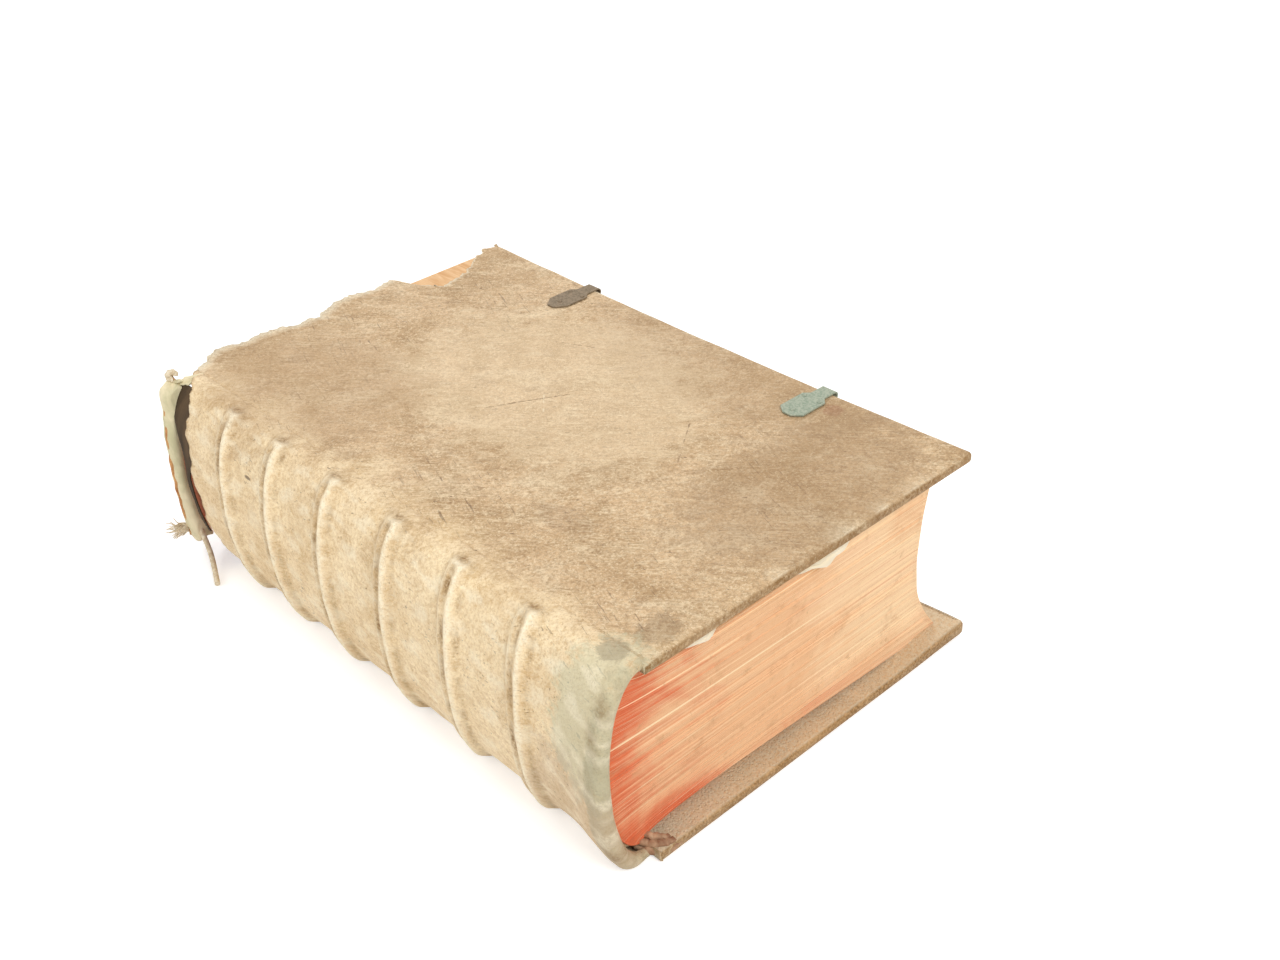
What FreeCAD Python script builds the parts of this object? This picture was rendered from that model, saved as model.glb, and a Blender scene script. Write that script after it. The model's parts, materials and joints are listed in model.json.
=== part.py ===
import FreeCAD, Part
import math
import os

Vec = FreeCAD.Vector

# The book lies closed on its lower cover. X runs from the joint to the fore-edge,
# Y from tail to head and Z up. The origin is the centre of the lower cover's outer face.

# Boards, covering leather and text block
BOARD_LENGTH = 448.0
BOARD_WIDTH = 269.4
BOARD_THICK = 5.0
BOARD_CORNER = 5.0
FORE_EDGE_HOLLOW = 4.0
LEATHER = 1.2
COVER_EDGE_BEVEL = 1.5
TURN_IN = 26.0
PASTEDOWN = 0.4
PASTEDOWN_GAP = 0.3
TEXT_LENGTH = 434.0
TEXT_THICK = 121.6
TEXT_GAP = 0.3
RACK = 5.0

# Rounded back and hollowed fore-edge of the text block
BACK_BULGE = 25.6
BACK_LEAN = 2.5
BACK_ANGLES = (-90.0, -84.0, -78.0, -60.0, -38.0, 0.0, 38.0, 60.0, 78.0, 84.0, 90.0)
TEXT_FOOT_WIDTH = 258.0
TEXT_TOP_SETBACK = 17.0
TEXT_HOLLOW = 25.7

# Spine leather
SPINE_BULGE = 30.8
SPINE_FULLNESS = 0.8
SPINE_LEATHER = 1.6
JOINT_GAP = 0.3
BAND_CENTRES = (152.0, 98.0, 38.0, -26.0, -88.0, -149.0)
BAND_HALF_WIDTH = 7.6
BAND_HEIGHT = 5.0
BAND_GROOVE = 1.2
BAND_GROOVE_HALF_WIDTH = 2.2
BAND_LEAN = 4.0
BAND_FADE_ANGLE = 30.0
TAIL_FLARE = 5.5
TAIL_FLARE_LENGTH = 42.0
CAP_RADIUS = 5.2
CAP_CLEAR_OF_PAGES = 3.0
CAP_TURN = 200.0

# Where the shape of the spine leather is set: angles round the back, distances from the
# middle of a band, and shares of the flared stretch before the tail cap
SPINE_ANGLES = (-90.0, -84.0, -76.0, -66.0, -52.0, -28.0, 0.0, 28.0, 52.0, 66.0, 76.0, 84.0, 90.0)
BAND_STATIONS = (10.5, 8.2, 6.2, 3.6, 0.0, -3.6, -6.2, -8.2, -10.5)
FLARE_STATIONS = (0.85, 0.6, 0.35, 0.12)

# Torn head of the spine: distance of the tear from the head of the text block
TEAR_AT_TOP = 12.0
TEAR_AT_BOTTOM = 31.0
TEAR_CORNER = 16.0
TEAR_WAVE = 2.0

# Sewing supports, their slips in the boards, pegs and linings
SUPPORT_WIDTH = 11.0
SUPPORT_THICK = 6.0
SLIP_WIDTH = 8.6
SLIP_THICK = 2.0
SLIP_LENGTH = 30.0
CHANNEL_GAP = 0.2
PEG_RADIUS = 3.0
PEG_GAP = 0.05
LINING_GAP = 0.3

# Endbands and the torn head cap
ENDBAND_RADIUS = 2.5
CAP_ARC = ((-151.0, 128.0), (-158.6, 66.0), (-155.5, 12.0))
TORN_CAP_RADIUS = 6.2
TORN_CAP_OPENING = 110.0
TORN_CAP_FROM_HEAD = 3.9
LOOSE_CORD_RADIUS = 2.0
LOOSE_CORD_GAP = 0.3
HEAD_CORE_PAST_CAP = 6.0
LOOSE_CORD_ROUTE = (
    (-157.8, 224.8, 34.0),
    (-158.0, 223.6, 18.0),
    (-161.4, 211.5, 9.5),
    (-165.3, 201.0, 6.4),
    (-170.2, 189.7, 4.0),
    (-175.2, 178.8, 2.3),
)

# Catch plates at the fore-edge of the upper cover
PLATE_THICK = 1.0
PLATE_WIDTH = 19.0
PLATE_NECK = 11.0
PLATE_NECK_LENGTH = 12.0
HOOK_INNER = 2.2
HOOK_OFFSET = 0.4
RIVET_SHANK = 0.9
RIVET_HEAD = 1.7
RIVET_HEAD_HEIGHT = 0.8
RIVET_IN_BOARD = 2.5
RIVET_GAP = 0.05
HEAD_PLATE_Y = 118.0
HEAD_PLATE_LENGTH = 41.0
HEAD_PLATE_POINT = 8.0
TAIL_PLATE_Y = -109.0
TAIL_PLATE_LENGTH = 40.0
TAIL_PLATE_POINT = 5.0

# Worked out from the sizes above
COVER_THICK = BOARD_THICK + 2 * LEATHER
JOINT_X = -BOARD_WIDTH / 2
FORE_EDGE_X = BOARD_WIDTH / 2
TEXT_BOTTOM = COVER_THICK + TEXT_GAP
TEXT_TOP = TEXT_BOTTOM + TEXT_THICK
HEIGHT = TEXT_TOP + TEXT_GAP + COVER_THICK
MIDDLE = HEIGHT / 2
TEXT_TAIL = RACK - TEXT_LENGTH / 2
TEXT_HEAD = RACK + TEXT_LENGTH / 2
CAP_Y = TEXT_TAIL - CAP_CLEAR_OF_PAGES
UPPER_TAIL = RACK - BOARD_LENGTH / 2
UPPER_HEAD = RACK + BOARD_LENGTH / 2

# Torn edge of the leather at the head of the upper cover: x, and how far it stands past the board
TORN_EDGE = (
    (-130.0, 2.0),
    (-120.0, 9.0),
    (-110.0, 17.0),
    (-98.0, 16.0),
    (-62.0, 12.0),
    (-45.0, 7.0),
    (-35.0, 8.0),
    (-30.0, 4.0),
    (-15.0, 15.0),
    (10.0, 16.0),
    (21.0, 12.0),
    (40.0, 15.0),
    (50.0, -8.0),
    (62.0, -23.0),
    (76.0, -20.0),
    (91.0, -16.0),
    (101.0, -8.0),
    (111.0, -1.0),
    (124.0, 5.0),
)


def smooth(t):
    """A step from 0 to 1 with level ends."""
    t = max(0.0, min(1.0, t))
    return t * t * (3.0 - 2.0 * t)


def arcs(points):
    """Round edges through the points: one arc for each two steps along them."""
    places = [Vec(*p) for p in points]
    triples = zip(places[::2], places[1::2], places[2::2])
    return [Part.Arc(*triple).toShape() for triple in triples]


def line(a, b):
    return Part.LineSegment(Vec(*a), Vec(*b)).toShape()


def straights(points):
    """Straight edges from each point to the next."""
    return [line(a, b) for a, b in zip(points, points[1:])]


def angles(first, last, count):
    return [first + (last - first) * i / (count - 1) for i in range(count)]


def box(x0, x1, y0, y1, z0, z1):
    return Part.makeBox(x1 - x0, y1 - y0, z1 - z0, Vec(x0, y0, z0))


def ring_across(radius, centre, direction):
    """An eight-sided outline that just fills a circle across a direction."""
    turns = [math.radians(45.0 * i + 22.5) for i in range(9)]
    ring = Part.makePolygon([Vec(radius * math.cos(t), radius * math.sin(t), 0) for t in turns])
    ring.Placement = FreeCAD.Placement(centre, FreeCAD.Rotation(Vec(0, 0, 1), direction))
    return ring


def prism(radius, height, foot):
    """An eight-sided upright peg, hole or shank."""
    return Part.Face(ring_across(radius, foot, Vec(0, 0, 1))).extrude(Vec(0, 0, height))


def cut(shape, tools):
    return shape.cut(Part.makeCompound(tools))


# Text block


def text_back(angle, outward=0.0):
    """Point (x, z) on the rounded back, or at a distance outward from it.

    The back is half of a leaning ellipse, and the angle runs from -90 at its foot to 90 at its top.
    """
    a = math.radians(angle)
    half = TEXT_THICK / 2
    x = JOINT_X + BACK_LEAN * math.sin(a) - BACK_BULGE * math.cos(a)
    z = MIDDLE + half * math.sin(a)
    tx = BACK_LEAN * math.cos(a) + BACK_BULGE * math.sin(a)
    tz = half * math.cos(a)
    size = math.hypot(tx, tz)
    return x - outward * tz / size, z + outward * tx / size


def make_text_block():
    """Pages as one solid with a rounded back and a hollow fore-edge."""
    foot = JOINT_X + TEXT_FOOT_WIDTH
    hollow = ((0.0, 0.0), (0.14, 0.5), (0.32, 0.9), (0.55, 1.0))
    fore = [(foot - TEXT_HOLLOW * inward, TEXT_BOTTOM + TEXT_THICK * up) for up, inward in hollow]
    fore.append((foot - TEXT_TOP_SETBACK, TEXT_TOP))
    back = [text_back(a) for a in reversed(BACK_ANGLES)]
    edges = arcs([(x, TEXT_TAIL, z) for x, z in fore])
    edges.append(line((fore[-1][0], TEXT_TAIL, fore[-1][1]), (back[0][0], TEXT_TAIL, back[0][1])))
    edges.extend(arcs([(x, TEXT_TAIL, z) for x, z in back]))
    edges.append(line((back[-1][0], TEXT_TAIL, back[-1][1]), (fore[0][0], TEXT_TAIL, fore[0][1])))
    return Part.Face(Part.Wire(edges)).extrude(Vec(0, TEXT_LENGTH, 0))


# Covers


def fore_edge_x(along):
    """Fore-edge of a board at a distance along it from its middle."""
    return FORE_EDGE_X - FORE_EDGE_HOLLOW * (1 - (2 * along / BOARD_LENGTH) ** 2)


def board_outline(middle_y, grow, head_grow):
    """Outline of a board, grown past its tail and fore-edge, and by another amount past its head."""
    y0 = middle_y - BOARD_LENGTH / 2 - grow
    y1 = middle_y + BOARD_LENGTH / 2 + head_grow
    x1 = FORE_EDGE_X + grow
    hollow = Part.Arc(
        Vec(x1, y0, 0), Vec(fore_edge_x(0.0) + grow, middle_y, 0), Vec(x1, y1, 0)
    ).toShape()
    edges = [
        line((JOINT_X, y0, 0), (x1, y0, 0)),
        hollow,
        line((x1, y1, 0), (JOINT_X, y1, 0)),
        line((JOINT_X, y1, 0), (JOINT_X, y0, 0)),
    ]
    return Part.Face(Part.Wire(edges))


def upright_edges_at_fore_edge(solid):
    found = []
    for edge in solid.Edges:
        ends = [v.Point for v in edge.Vertexes]
        if len(ends) == 2 and abs(ends[0].z - ends[1].z) > 1.0 and ends[0].x > 0:
            found.append(edge)
    return found


def slab(middle_y, grow, head_grow, z0, thick):
    """A board-shaped slab with rounded corners at the fore-edge."""
    solid = board_outline(middle_y, grow, head_grow).extrude(Vec(0, 0, thick))
    solid = solid.makeFillet(BOARD_CORNER + grow, upright_edges_at_fore_edge(solid))
    solid.translate(Vec(0, 0, z0))
    return solid


def outer_rim(solid, z, head_too):
    """Edges of the outer face along the tail and fore-edge, and along the head if asked."""
    found = []
    top_y = solid.BoundBox.YMax
    for edge in solid.Edges:
        bounds = edge.BoundBox
        level = abs(bounds.ZMin - z) < 0.01 and abs(bounds.ZMax - z) < 0.01
        at_joint = bounds.XMax < JOINT_X + 0.01
        near_head = bounds.YMax > top_y - 0.01
        if level and not at_joint and (head_too or not near_head):
            found.append(edge)
    return found


def mirrored_up(solid):
    """The same solid turned over to the top of the book."""
    return solid.mirror(Vec(0, 0, MIDDLE), Vec(0, 0, 1))


def channels(middle_y):
    """Room in a board's outer face for the slips, and the peg holes at their ends."""
    tools = []
    for y in BAND_CENTRES:
        half = SLIP_WIDTH / 2 + CHANNEL_GAP
        end = JOINT_X + SLIP_LENGTH + CHANNEL_GAP
        tools.append(box(JOINT_X - 1, end, y - half, y + half, LEATHER - 1, LEATHER + SLIP_THICK))
        tools.append(prism(PEG_RADIUS, BOARD_THICK + 2, Vec(end + PEG_RADIUS, y, LEATHER - 1)))
    return tools


def make_board(middle_y):
    board = slab(middle_y, 0.0, 0.0, LEATHER, BOARD_THICK)
    return cut(board, channels(middle_y))


def make_slips():
    """Ends of the sewing supports, laid flat in the channels of one board."""
    slips = []
    for y in BAND_CENTRES:
        half = SLIP_WIDTH / 2
        slips.append(box(JOINT_X, JOINT_X + SLIP_LENGTH, y - half, y + half,
                         LEATHER, LEATHER + SLIP_THICK - CHANNEL_GAP))
    return Part.makeCompound(slips)


def make_pegs():
    """Wooden pegs that hold the slips in one board."""
    x = JOINT_X + SLIP_LENGTH + CHANNEL_GAP + PEG_RADIUS
    pegs = []
    for y in BAND_CENTRES:
        pegs.append(prism(PEG_RADIUS - PEG_GAP, BOARD_THICK, Vec(x, y, LEATHER)))
    return Part.makeCompound(pegs)


def pastedown_window(middle_y, inset, z0, z1):
    return box(
        JOINT_X + inset,
        fore_edge_x(0.0) - TURN_IN - inset,
        middle_y - BOARD_LENGTH / 2 + TURN_IN + inset,
        middle_y + BOARD_LENGTH / 2 - TURN_IN - inset,
        z0,
        z1,
    )


def make_pastedown(middle_y):
    z = LEATHER + BOARD_THICK
    return pastedown_window(middle_y, PASTEDOWN_GAP, z, z + PASTEDOWN)


def make_cover_leather(middle_y):
    """Leather over one board, turned in on three sides around the pastedown."""
    skin = slab(middle_y, LEATHER, LEATHER, 0.0, COVER_THICK)
    skin = skin.makeChamfer(COVER_EDGE_BEVEL, outer_rim(skin, 0.0, True))
    inside = slab(middle_y, 0.0, 0.0, LEATHER, BOARD_THICK)
    window = pastedown_window(middle_y, 0.0, LEATHER, COVER_THICK + 1)
    return cut(skin, [inside, window])


def torn_prism():
    """Everything on the near side of the torn edge at the head of the upper cover."""
    edge = [(x, UPPER_HEAD + past, 0.0) for x, past in TORN_EDGE]
    left = JOINT_X
    right = FORE_EDGE_X + 20
    points = [(left, UPPER_TAIL - 20, 0.0), (right, UPPER_TAIL - 20, 0.0)]
    points.append((right, UPPER_HEAD + TORN_EDGE[-1][1], 0.0))
    points.extend(reversed(edge))
    points.append((left, UPPER_HEAD - 1, 0.0))
    points.append(points[0])
    face = Part.Face(Part.makePolygon([Vec(*p) for p in points]))
    return face.extrude(Vec(0, 0, COVER_THICK))


def make_upper_leather(middle_y):
    """Leather over the upper board, torn at the head, where its turn-in is gone.

    It is made the same way up as the lower cover and turned over at the end.
    """
    past_head = 20.0
    skin = slab(middle_y, LEATHER, past_head, 0.0, COVER_THICK)
    skin = skin.makeChamfer(COVER_EDGE_BEVEL, outer_rim(skin, 0.0, False))
    inside = slab(middle_y, 0.0, 0.0, LEATHER, BOARD_THICK)
    window = pastedown_window(middle_y, 0.0, LEATHER, COVER_THICK + 1)
    gone = box(
        JOINT_X - 1, FORE_EDGE_X + 20, UPPER_HEAD - TURN_IN, UPPER_HEAD + 40, LEATHER, COVER_THICK + 1
    )
    skin = cut(skin, [inside, window, gone])
    return mirrored_up(skin.common(torn_prism()))


# Spine leather


def spine_back(angle, outward=0.0):
    """Point (x, z) on the outside of the spine between the bands, or outward from it."""
    def place(value):
        a = math.radians(value)
        reach = max(0.0, math.cos(a)) ** SPINE_FULLNESS
        return (
            JOINT_X - JOINT_GAP - SPINE_BULGE * reach,
            MIDDLE + (MIDDLE - JOINT_GAP) * math.sin(a),
        )

    x, z = place(angle)
    if abs(angle) > 89.9:
        return x, z + outward * math.copysign(1.0, angle)
    before = place(angle - 0.05)
    after = place(angle + 0.05)
    tx = after[0] - before[0]
    tz = after[1] - before[1]
    size = math.hypot(tx, tz)
    return x - outward * tz / size, z + outward * tx / size


def fade(angle):
    """The bands and the cap flatten towards both joints."""
    return smooth((90.0 - abs(angle)) / BAND_FADE_ANGLE)


def band_lean(angle):
    """The bands run a little towards the head at the upper joint."""
    return BAND_LEAN * smooth(angle / 90.0)


def band_rise(offset):
    """Height of a raised band at a distance from its middle, with a groove between two ridges."""
    ridge = BAND_HEIGHT * math.exp(-((offset / BAND_HALF_WIDTH) ** 6))
    return ridge - BAND_GROOVE * math.exp(-((offset / BAND_GROOVE_HALF_WIDTH) ** 2))


def tail_rise(y):
    """The spine swells towards the cap at the tail."""
    return TAIL_FLARE * smooth((CAP_Y + TAIL_FLARE_LENGTH - y) / TAIL_FLARE_LENGTH)


def tear_y(angle):
    """Where the torn head edge of the spine leather lies."""
    down = (90.0 - angle) / 180.0
    back = TEAR_AT_TOP + (TEAR_AT_BOTTOM - TEAR_AT_TOP) * smooth(down ** 0.7)
    back -= TEAR_CORNER * smooth((angle - 66.0) / 24.0)
    return TEXT_HEAD - back + TEAR_WAVE * math.sin(angle * 0.21)


def spine_row(place):
    """Points round the back for one station, whose place gives y and rise at each angle."""
    row = []
    for angle in SPINE_ANGLES:
        y, rise = place(angle)
        x, z = spine_back(angle, rise)
        row.append((x, y, z))
    return row


def cap_place(angle, turn, inward):
    """A point of the leather rolled round the endband at the tail."""
    soft = fade(angle)
    radius = CAP_RADIUS * (0.55 + 0.45 * soft)
    phi = math.radians(turn)
    reach = radius - inward
    rise = TAIL_FLARE * soft - radius + reach * math.cos(phi)
    return CAP_Y - reach * math.sin(phi), rise


def outer_rows():
    """Rows over the outside of the leather, from the torn head to the lip of the tail cap."""
    rows = [spine_row(lambda a: (tear_y(a), 0.0))]
    for centre in BAND_CENTRES:
        for d in BAND_STATIONS:
            rows.append(spine_row(
                lambda a, c=centre, d=d: (c + d + band_lean(a), band_rise(d) * fade(a))))
    for share in FLARE_STATIONS:
        y = CAP_Y + TAIL_FLARE_LENGTH * share
        rows.append(spine_row(lambda a, y=y: (y, tail_rise(y) * fade(a))))
    for turn in angles(0, CAP_TURN, 9):
        rows.append(spine_row(lambda a, t=turn: cap_place(a, t, 0.0)))
    return rows


def inner_rows():
    """Rows over the inside of the leather, with a plain hollow for each sewing support."""
    rows = [spine_row(lambda a: (tear_y(a), -SPINE_LEATHER))]
    hollow = BAND_HEIGHT - SPINE_LEATHER / 2
    wide = BAND_HALF_WIDTH + 1.9
    narrow = SUPPORT_WIDTH / 2 + 1.0
    for centre in BAND_CENTRES:
        for d, depth in ((wide, 0.0), (narrow, hollow), (-narrow, hollow), (-wide, 0.0)):
            rows.append(spine_row(
                lambda a, c=centre, d=d, h=depth:
                (c + d + band_lean(a), h * fade(a) - SPINE_LEATHER)))
    for share in FLARE_STATIONS[::2]:
        y = CAP_Y + TAIL_FLARE_LENGTH * share
        rows.append(spine_row(lambda a, y=y: (y, tail_rise(y) * fade(a) - SPINE_LEATHER)))
    for turn in angles(0, CAP_TURN, 6):
        rows.append(spine_row(lambda a, t=turn: cap_place(a, t, SPINE_LEATHER)))
    return rows


def skin_faces(rows):
    """Strips from each row to the next, one for each step along the rows."""
    faces = []
    for row, following in zip(rows, rows[1:]):
        for a, b in zip(straights(row), straights(following)):
            faces.append(Part.makeRuledSurface(a, b))
    return faces


def joint_face(outer, inner, end):
    """The flat edge of the leather at one joint, through the ends of all its rows."""
    points = [Vec(*row[end]) for row in outer]
    points.extend(Vec(*row[end]) for row in reversed(inner))
    points.append(points[0])
    return Part.Face(Part.makePolygon(points))


def make_spine_leather():
    """Leather over the back, with raised bands, a rolled cap at the tail and a torn head."""
    outer = outer_rows()
    inner = inner_rows()
    faces = skin_faces(outer) + skin_faces(inner)
    faces.extend(skin_faces([outer[0], inner[0]]))
    faces.extend(skin_faces([outer[-1], inner[-1]]))
    faces.append(joint_face(outer, inner, 0))
    faces.append(joint_face(outer, inner, -1))
    shell = Part.makeShell(faces)
    shell.sewShape()
    solid = Part.makeSolid(shell)
    if solid.Volume < 0:
        solid.reverse()
    return solid


# Sewing supports, linings and endbands


def back_slice(inner, outer, outer_edges, y0, y1):
    """A solid from y0 to y1 between two curves round the back.

    The inner curve has round edges, and outer_edges makes those of the outer one.
    """
    inside = [(x, y0, z) for x, z in inner]
    outside = [(x, y0, z) for x, z in reversed(outer)]
    edges = arcs(inside) + [line(inside[-1], outside[0])]
    edges += outer_edges(outside) + [line(outside[-1], inside[0])]
    return Part.Face(Part.Wire(edges)).extrude(Vec(0, y1 - y0, 0))


def make_support(centre):
    """A thong round the back, to which the gatherings are sewn."""
    inner = [text_back(a, TEXT_GAP) for a in BACK_ANGLES[2:-2]]
    outer = [text_back(a, TEXT_GAP + SUPPORT_THICK) for a in BACK_ANGLES[2:-2]]
    half = SUPPORT_WIDTH / 2
    return back_slice(inner, outer, arcs, centre - half, centre + half)


def make_linings():
    """Patches pasted on the back between the supports, one in each panel."""
    inner = [text_back(a, LINING_GAP) for a in BACK_ANGLES[2:-2]]
    outer = [spine_back(a, -SPINE_LEATHER - LINING_GAP) for a in SPINE_ANGLES[4:-4]]
    clear = BAND_HALF_WIDTH + 2.4
    tops = [TEXT_HEAD - TEAR_AT_BOTTOM - 6] + [c - clear for c in BAND_CENTRES]
    feet = [c + clear + BAND_LEAN for c in BAND_CENTRES] + [TEXT_TAIL + 1.0]
    patches = [back_slice(inner, outer, straights, low, high) for high, low in zip(tops, feet)]
    return Part.makeCompound(patches)


def make_tail_endband():
    """Core under the rolled cap at the tail, bent like the cap at each of its angles."""
    flat = [spine_back(a, TAIL_FLARE - CAP_RADIUS) for a in SPINE_ANGLES[4:-4]]
    path = [Vec(x, CAP_Y, z) for x, z in flat]
    ring = ring_across(ENDBAND_RADIUS, path[0], path[1] - path[0])
    return Part.makePolygon(path).makePipeShell([ring], True, True, 1)


def cap_circle():
    """Centre and radius of the arc along which the torn head cap hangs."""
    y = TEXT_HEAD + TORN_CAP_FROM_HEAD
    arc = Part.Arc(*[Vec(x, y, z) for x, z in CAP_ARC]).toShape().Curve
    return arc.Center, arc.Radius


def swept_on_cap_arc(face_maker, low_z, high_z):
    """A face carried round the cap's arc, from one height to another."""
    centre, radius = cap_circle()
    low = math.asin((low_z - centre.z) / radius)
    high = math.asin((high_z - centre.z) / radius)
    face = face_maker(centre.x - radius, centre.y, centre.z)
    face.rotate(centre, Vec(0, 1, 0), math.degrees(low))
    return face.revolve(centre, Vec(0, 1, 0), math.degrees(high - low))


def rolled_section(x, y, z):
    """An open ring of leather, its gap towards the torn spine."""
    half_gap = TORN_CAP_OPENING / 2
    turns = [math.radians(t) for t in angles(-90 + half_gap, 270 - half_gap, 8)]
    ring = []
    for radius, order in ((TORN_CAP_RADIUS, turns), (TORN_CAP_RADIUS - SPINE_LEATHER, turns[::-1])):
        ring.extend(Vec(x + radius * math.cos(t), y + radius * math.sin(t), z) for t in order)
    ring.append(ring[0])
    return Part.Face(Part.makePolygon(ring))


def core_section(x, y, z):
    """The core lies in the open side of the cap, against the pages."""
    against_pages = TEXT_HEAD + TEXT_GAP + ENDBAND_RADIUS
    return Part.Face(ring_across(ENDBAND_RADIUS, Vec(x, against_pages, z), Vec(0, 0, 1)))


def make_torn_cap():
    return swept_on_cap_arc(rolled_section, CAP_ARC[2][1], CAP_ARC[0][1])


def make_head_endband():
    foot = LOOSE_CORD_ROUTE[0][2] + LOOSE_CORD_GAP
    return swept_on_cap_arc(core_section, foot, CAP_ARC[0][1] + HEAD_CORE_PAST_CAP)


def cord_path(route):
    """Straight runs joined by tangent arcs, each as large as its two runs allow."""
    points = [Vec(*p) for p in route]
    edges = []
    start = points[0]
    for before, corner, after in zip(points, points[1:], points[2:]):
        into = (corner - before).normalize()
        out = (after - corner).normalize()
        half = into.getAngle(out) / 2
        run = min((corner - before).Length, (after - corner).Length)
        radius = 0.45 * run / math.tan(half)
        print("cord bend radius", round(radius, 1))
        reach = radius * math.tan(half)
        first = corner - into * reach
        last = corner + out * reach
        towards = (out - into).normalize()
        middle = corner + towards * (radius / math.cos(half) - radius)
        edges.append(Part.LineSegment(start, first).toShape())
        edges.append(Part.Arc(first, middle, last).toShape())
        start = last
    edges.append(Part.LineSegment(start, points[-1]).toShape())
    return Part.Wire(edges)


def make_loose_cord():
    """The end of the head endband's core, hanging free to the table."""
    path = cord_path(LOOSE_CORD_ROUTE)
    start = Vec(*LOOSE_CORD_ROUTE[0])
    ring = ring_across(LOOSE_CORD_RADIUS, start, Vec(*LOOSE_CORD_ROUTE[1]) - start)
    cord = path.makePipeShell([ring], True, True)
    share = cord.Volume / (Part.Face(ring).Area * path.Length)
    print("cord length", round(path.Length, 1), "volume share", round(share, 4))
    return cord


# Catch plates


def plate_edge_x(y):
    """Outer face of the upper cover's fore-edge at y."""
    return fore_edge_x(y - RACK) + LEATHER


def rivet_places(y, length, point):
    x = plate_edge_x(y)
    return (
        (x - PLATE_NECK_LENGTH - 4.0, y - PLATE_WIDTH / 2 + 3.0),
        (x - PLATE_NECK_LENGTH - 4.0, y + PLATE_WIDTH / 2 - 3.0),
        (x - length + point + 1.0, y),
    )


def rivet_holes(y, length, point):
    holes = []
    depth = PLATE_THICK + LEATHER + RIVET_IN_BOARD
    for x, across in rivet_places(y, length, point):
        foot = Vec(x, across, HEIGHT + PLATE_THICK - depth)
        holes.append(prism(RIVET_SHANK + RIVET_GAP, depth + 1, foot))
    return holes


def make_catch_plate(y, length, point):
    """A plate on the cover with a pointed inner end, a neck and a hook past the fore-edge."""
    edge = plate_edge_x(y)
    half = PLATE_WIDTH / 2
    neck = PLATE_NECK / 2
    shoulder = edge - PLATE_NECK_LENGTH
    hook_x = edge + HOOK_OFFSET
    outline = [
        (edge - length, y - half * 0.35),
        (edge - length + point, y - half),
        (shoulder - 2.0, y - half),
        (shoulder + 2.0, y - neck),
        (hook_x, y - neck),
        (hook_x, y + neck),
        (shoulder + 2.0, y + neck),
        (shoulder - 2.0, y + half),
        (edge - length + point, y + half),
        (edge - length, y + half * 0.35),
    ]
    outline.append(outline[0])
    face = Part.Face(Part.makePolygon([Vec(px, py, HEIGHT) for px, py in outline]))
    plate = face.extrude(Vec(0, 0, PLATE_THICK))
    hook = make_hook(hook_x, y - neck)
    return cut(plate.fuse(hook).removeSplitter(), rivet_holes(y, length, point))


def make_hook(x, y0):
    """Strip rolled down past the fore-edge, open towards the board."""
    centre_z = HEIGHT - HOOK_INNER
    turns = [math.radians(a) for a in (90, 5, -80)]
    rings = []
    for radius in (HOOK_INNER + PLATE_THICK, HOOK_INNER):
        rings.append([Vec(x + radius * math.cos(t), y0, centre_z + radius * math.sin(t))
                      for t in turns])
    edges = [
        Part.Arc(*rings[0]).toShape(),
        Part.LineSegment(rings[0][2], rings[1][2]).toShape(),
        Part.Arc(*rings[1][::-1]).toShape(),
        Part.LineSegment(rings[1][0], rings[0][0]).toShape(),
    ]
    return Part.Face(Part.Wire(edges)).extrude(Vec(0, PLATE_NECK, 0))


def make_rivets(y, length, point):
    """Short rivets with hammered heads, driven through the plate into the board."""
    rivets = []
    depth = PLATE_THICK + LEATHER + RIVET_IN_BOARD
    top = HEIGHT + PLATE_THICK
    for x, across in rivet_places(y, length, point):
        shank = prism(RIVET_SHANK, depth, Vec(x, across, top - depth))
        head = prism(RIVET_HEAD, RIVET_HEAD_HEIGHT, Vec(x, across, top))
        crown = [e for e in head.Edges if abs(e.BoundBox.ZMin - top - RIVET_HEAD_HEIGHT) < 0.01]
        head = head.makeChamfer(RIVET_HEAD_HEIGHT * 0.6, crown)
        rivets.append(shank.fuse(head).removeSplitter())
    return Part.makeCompound(rivets)


# Assembly


def lower_cover():
    return {
        "lower_board": make_board(0.0),
        "lower_cover_leather": make_cover_leather(0.0),
        "lower_pastedown": make_pastedown(0.0),
        "lower_lacing_slips": make_slips(),
        "lower_lacing_pegs": make_pegs(),
    }


def upper_cover():
    head = (HEAD_PLATE_Y, HEAD_PLATE_LENGTH, HEAD_PLATE_POINT)
    tail = (TAIL_PLATE_Y, TAIL_PLATE_LENGTH, TAIL_PLATE_POINT)
    holes = rivet_holes(*head) + rivet_holes(*tail)
    return {
        "upper_board": cut(mirrored_up(make_board(RACK)), holes),
        "upper_cover_leather": cut(make_upper_leather(RACK), holes),
        "upper_pastedown": mirrored_up(make_pastedown(RACK)),
        "upper_lacing_slips": mirrored_up(make_slips()),
        "upper_lacing_pegs": mirrored_up(make_pegs()),
        "catch_plate_head": make_catch_plate(*head),
        "catch_plate_tail": make_catch_plate(*tail),
        "catch_rivets_head": make_rivets(*head),
        "catch_rivets_tail": make_rivets(*tail),
    }


def text_body():
    pieces = {
        "text_block": make_text_block(),
        "spine_leather": make_spine_leather(),
        "spine_linings": make_linings(),
        "tail_endband_core": make_tail_endband(),
        "head_endband_core": make_head_endband(),
        "torn_head_cap": make_torn_cap(),
        "loose_endband_cord": make_loose_cord(),
    }
    for number, centre in enumerate(BAND_CENTRES, 1):
        pieces["sewing_support_%d" % number] = make_support(centre)
    return pieces


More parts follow.
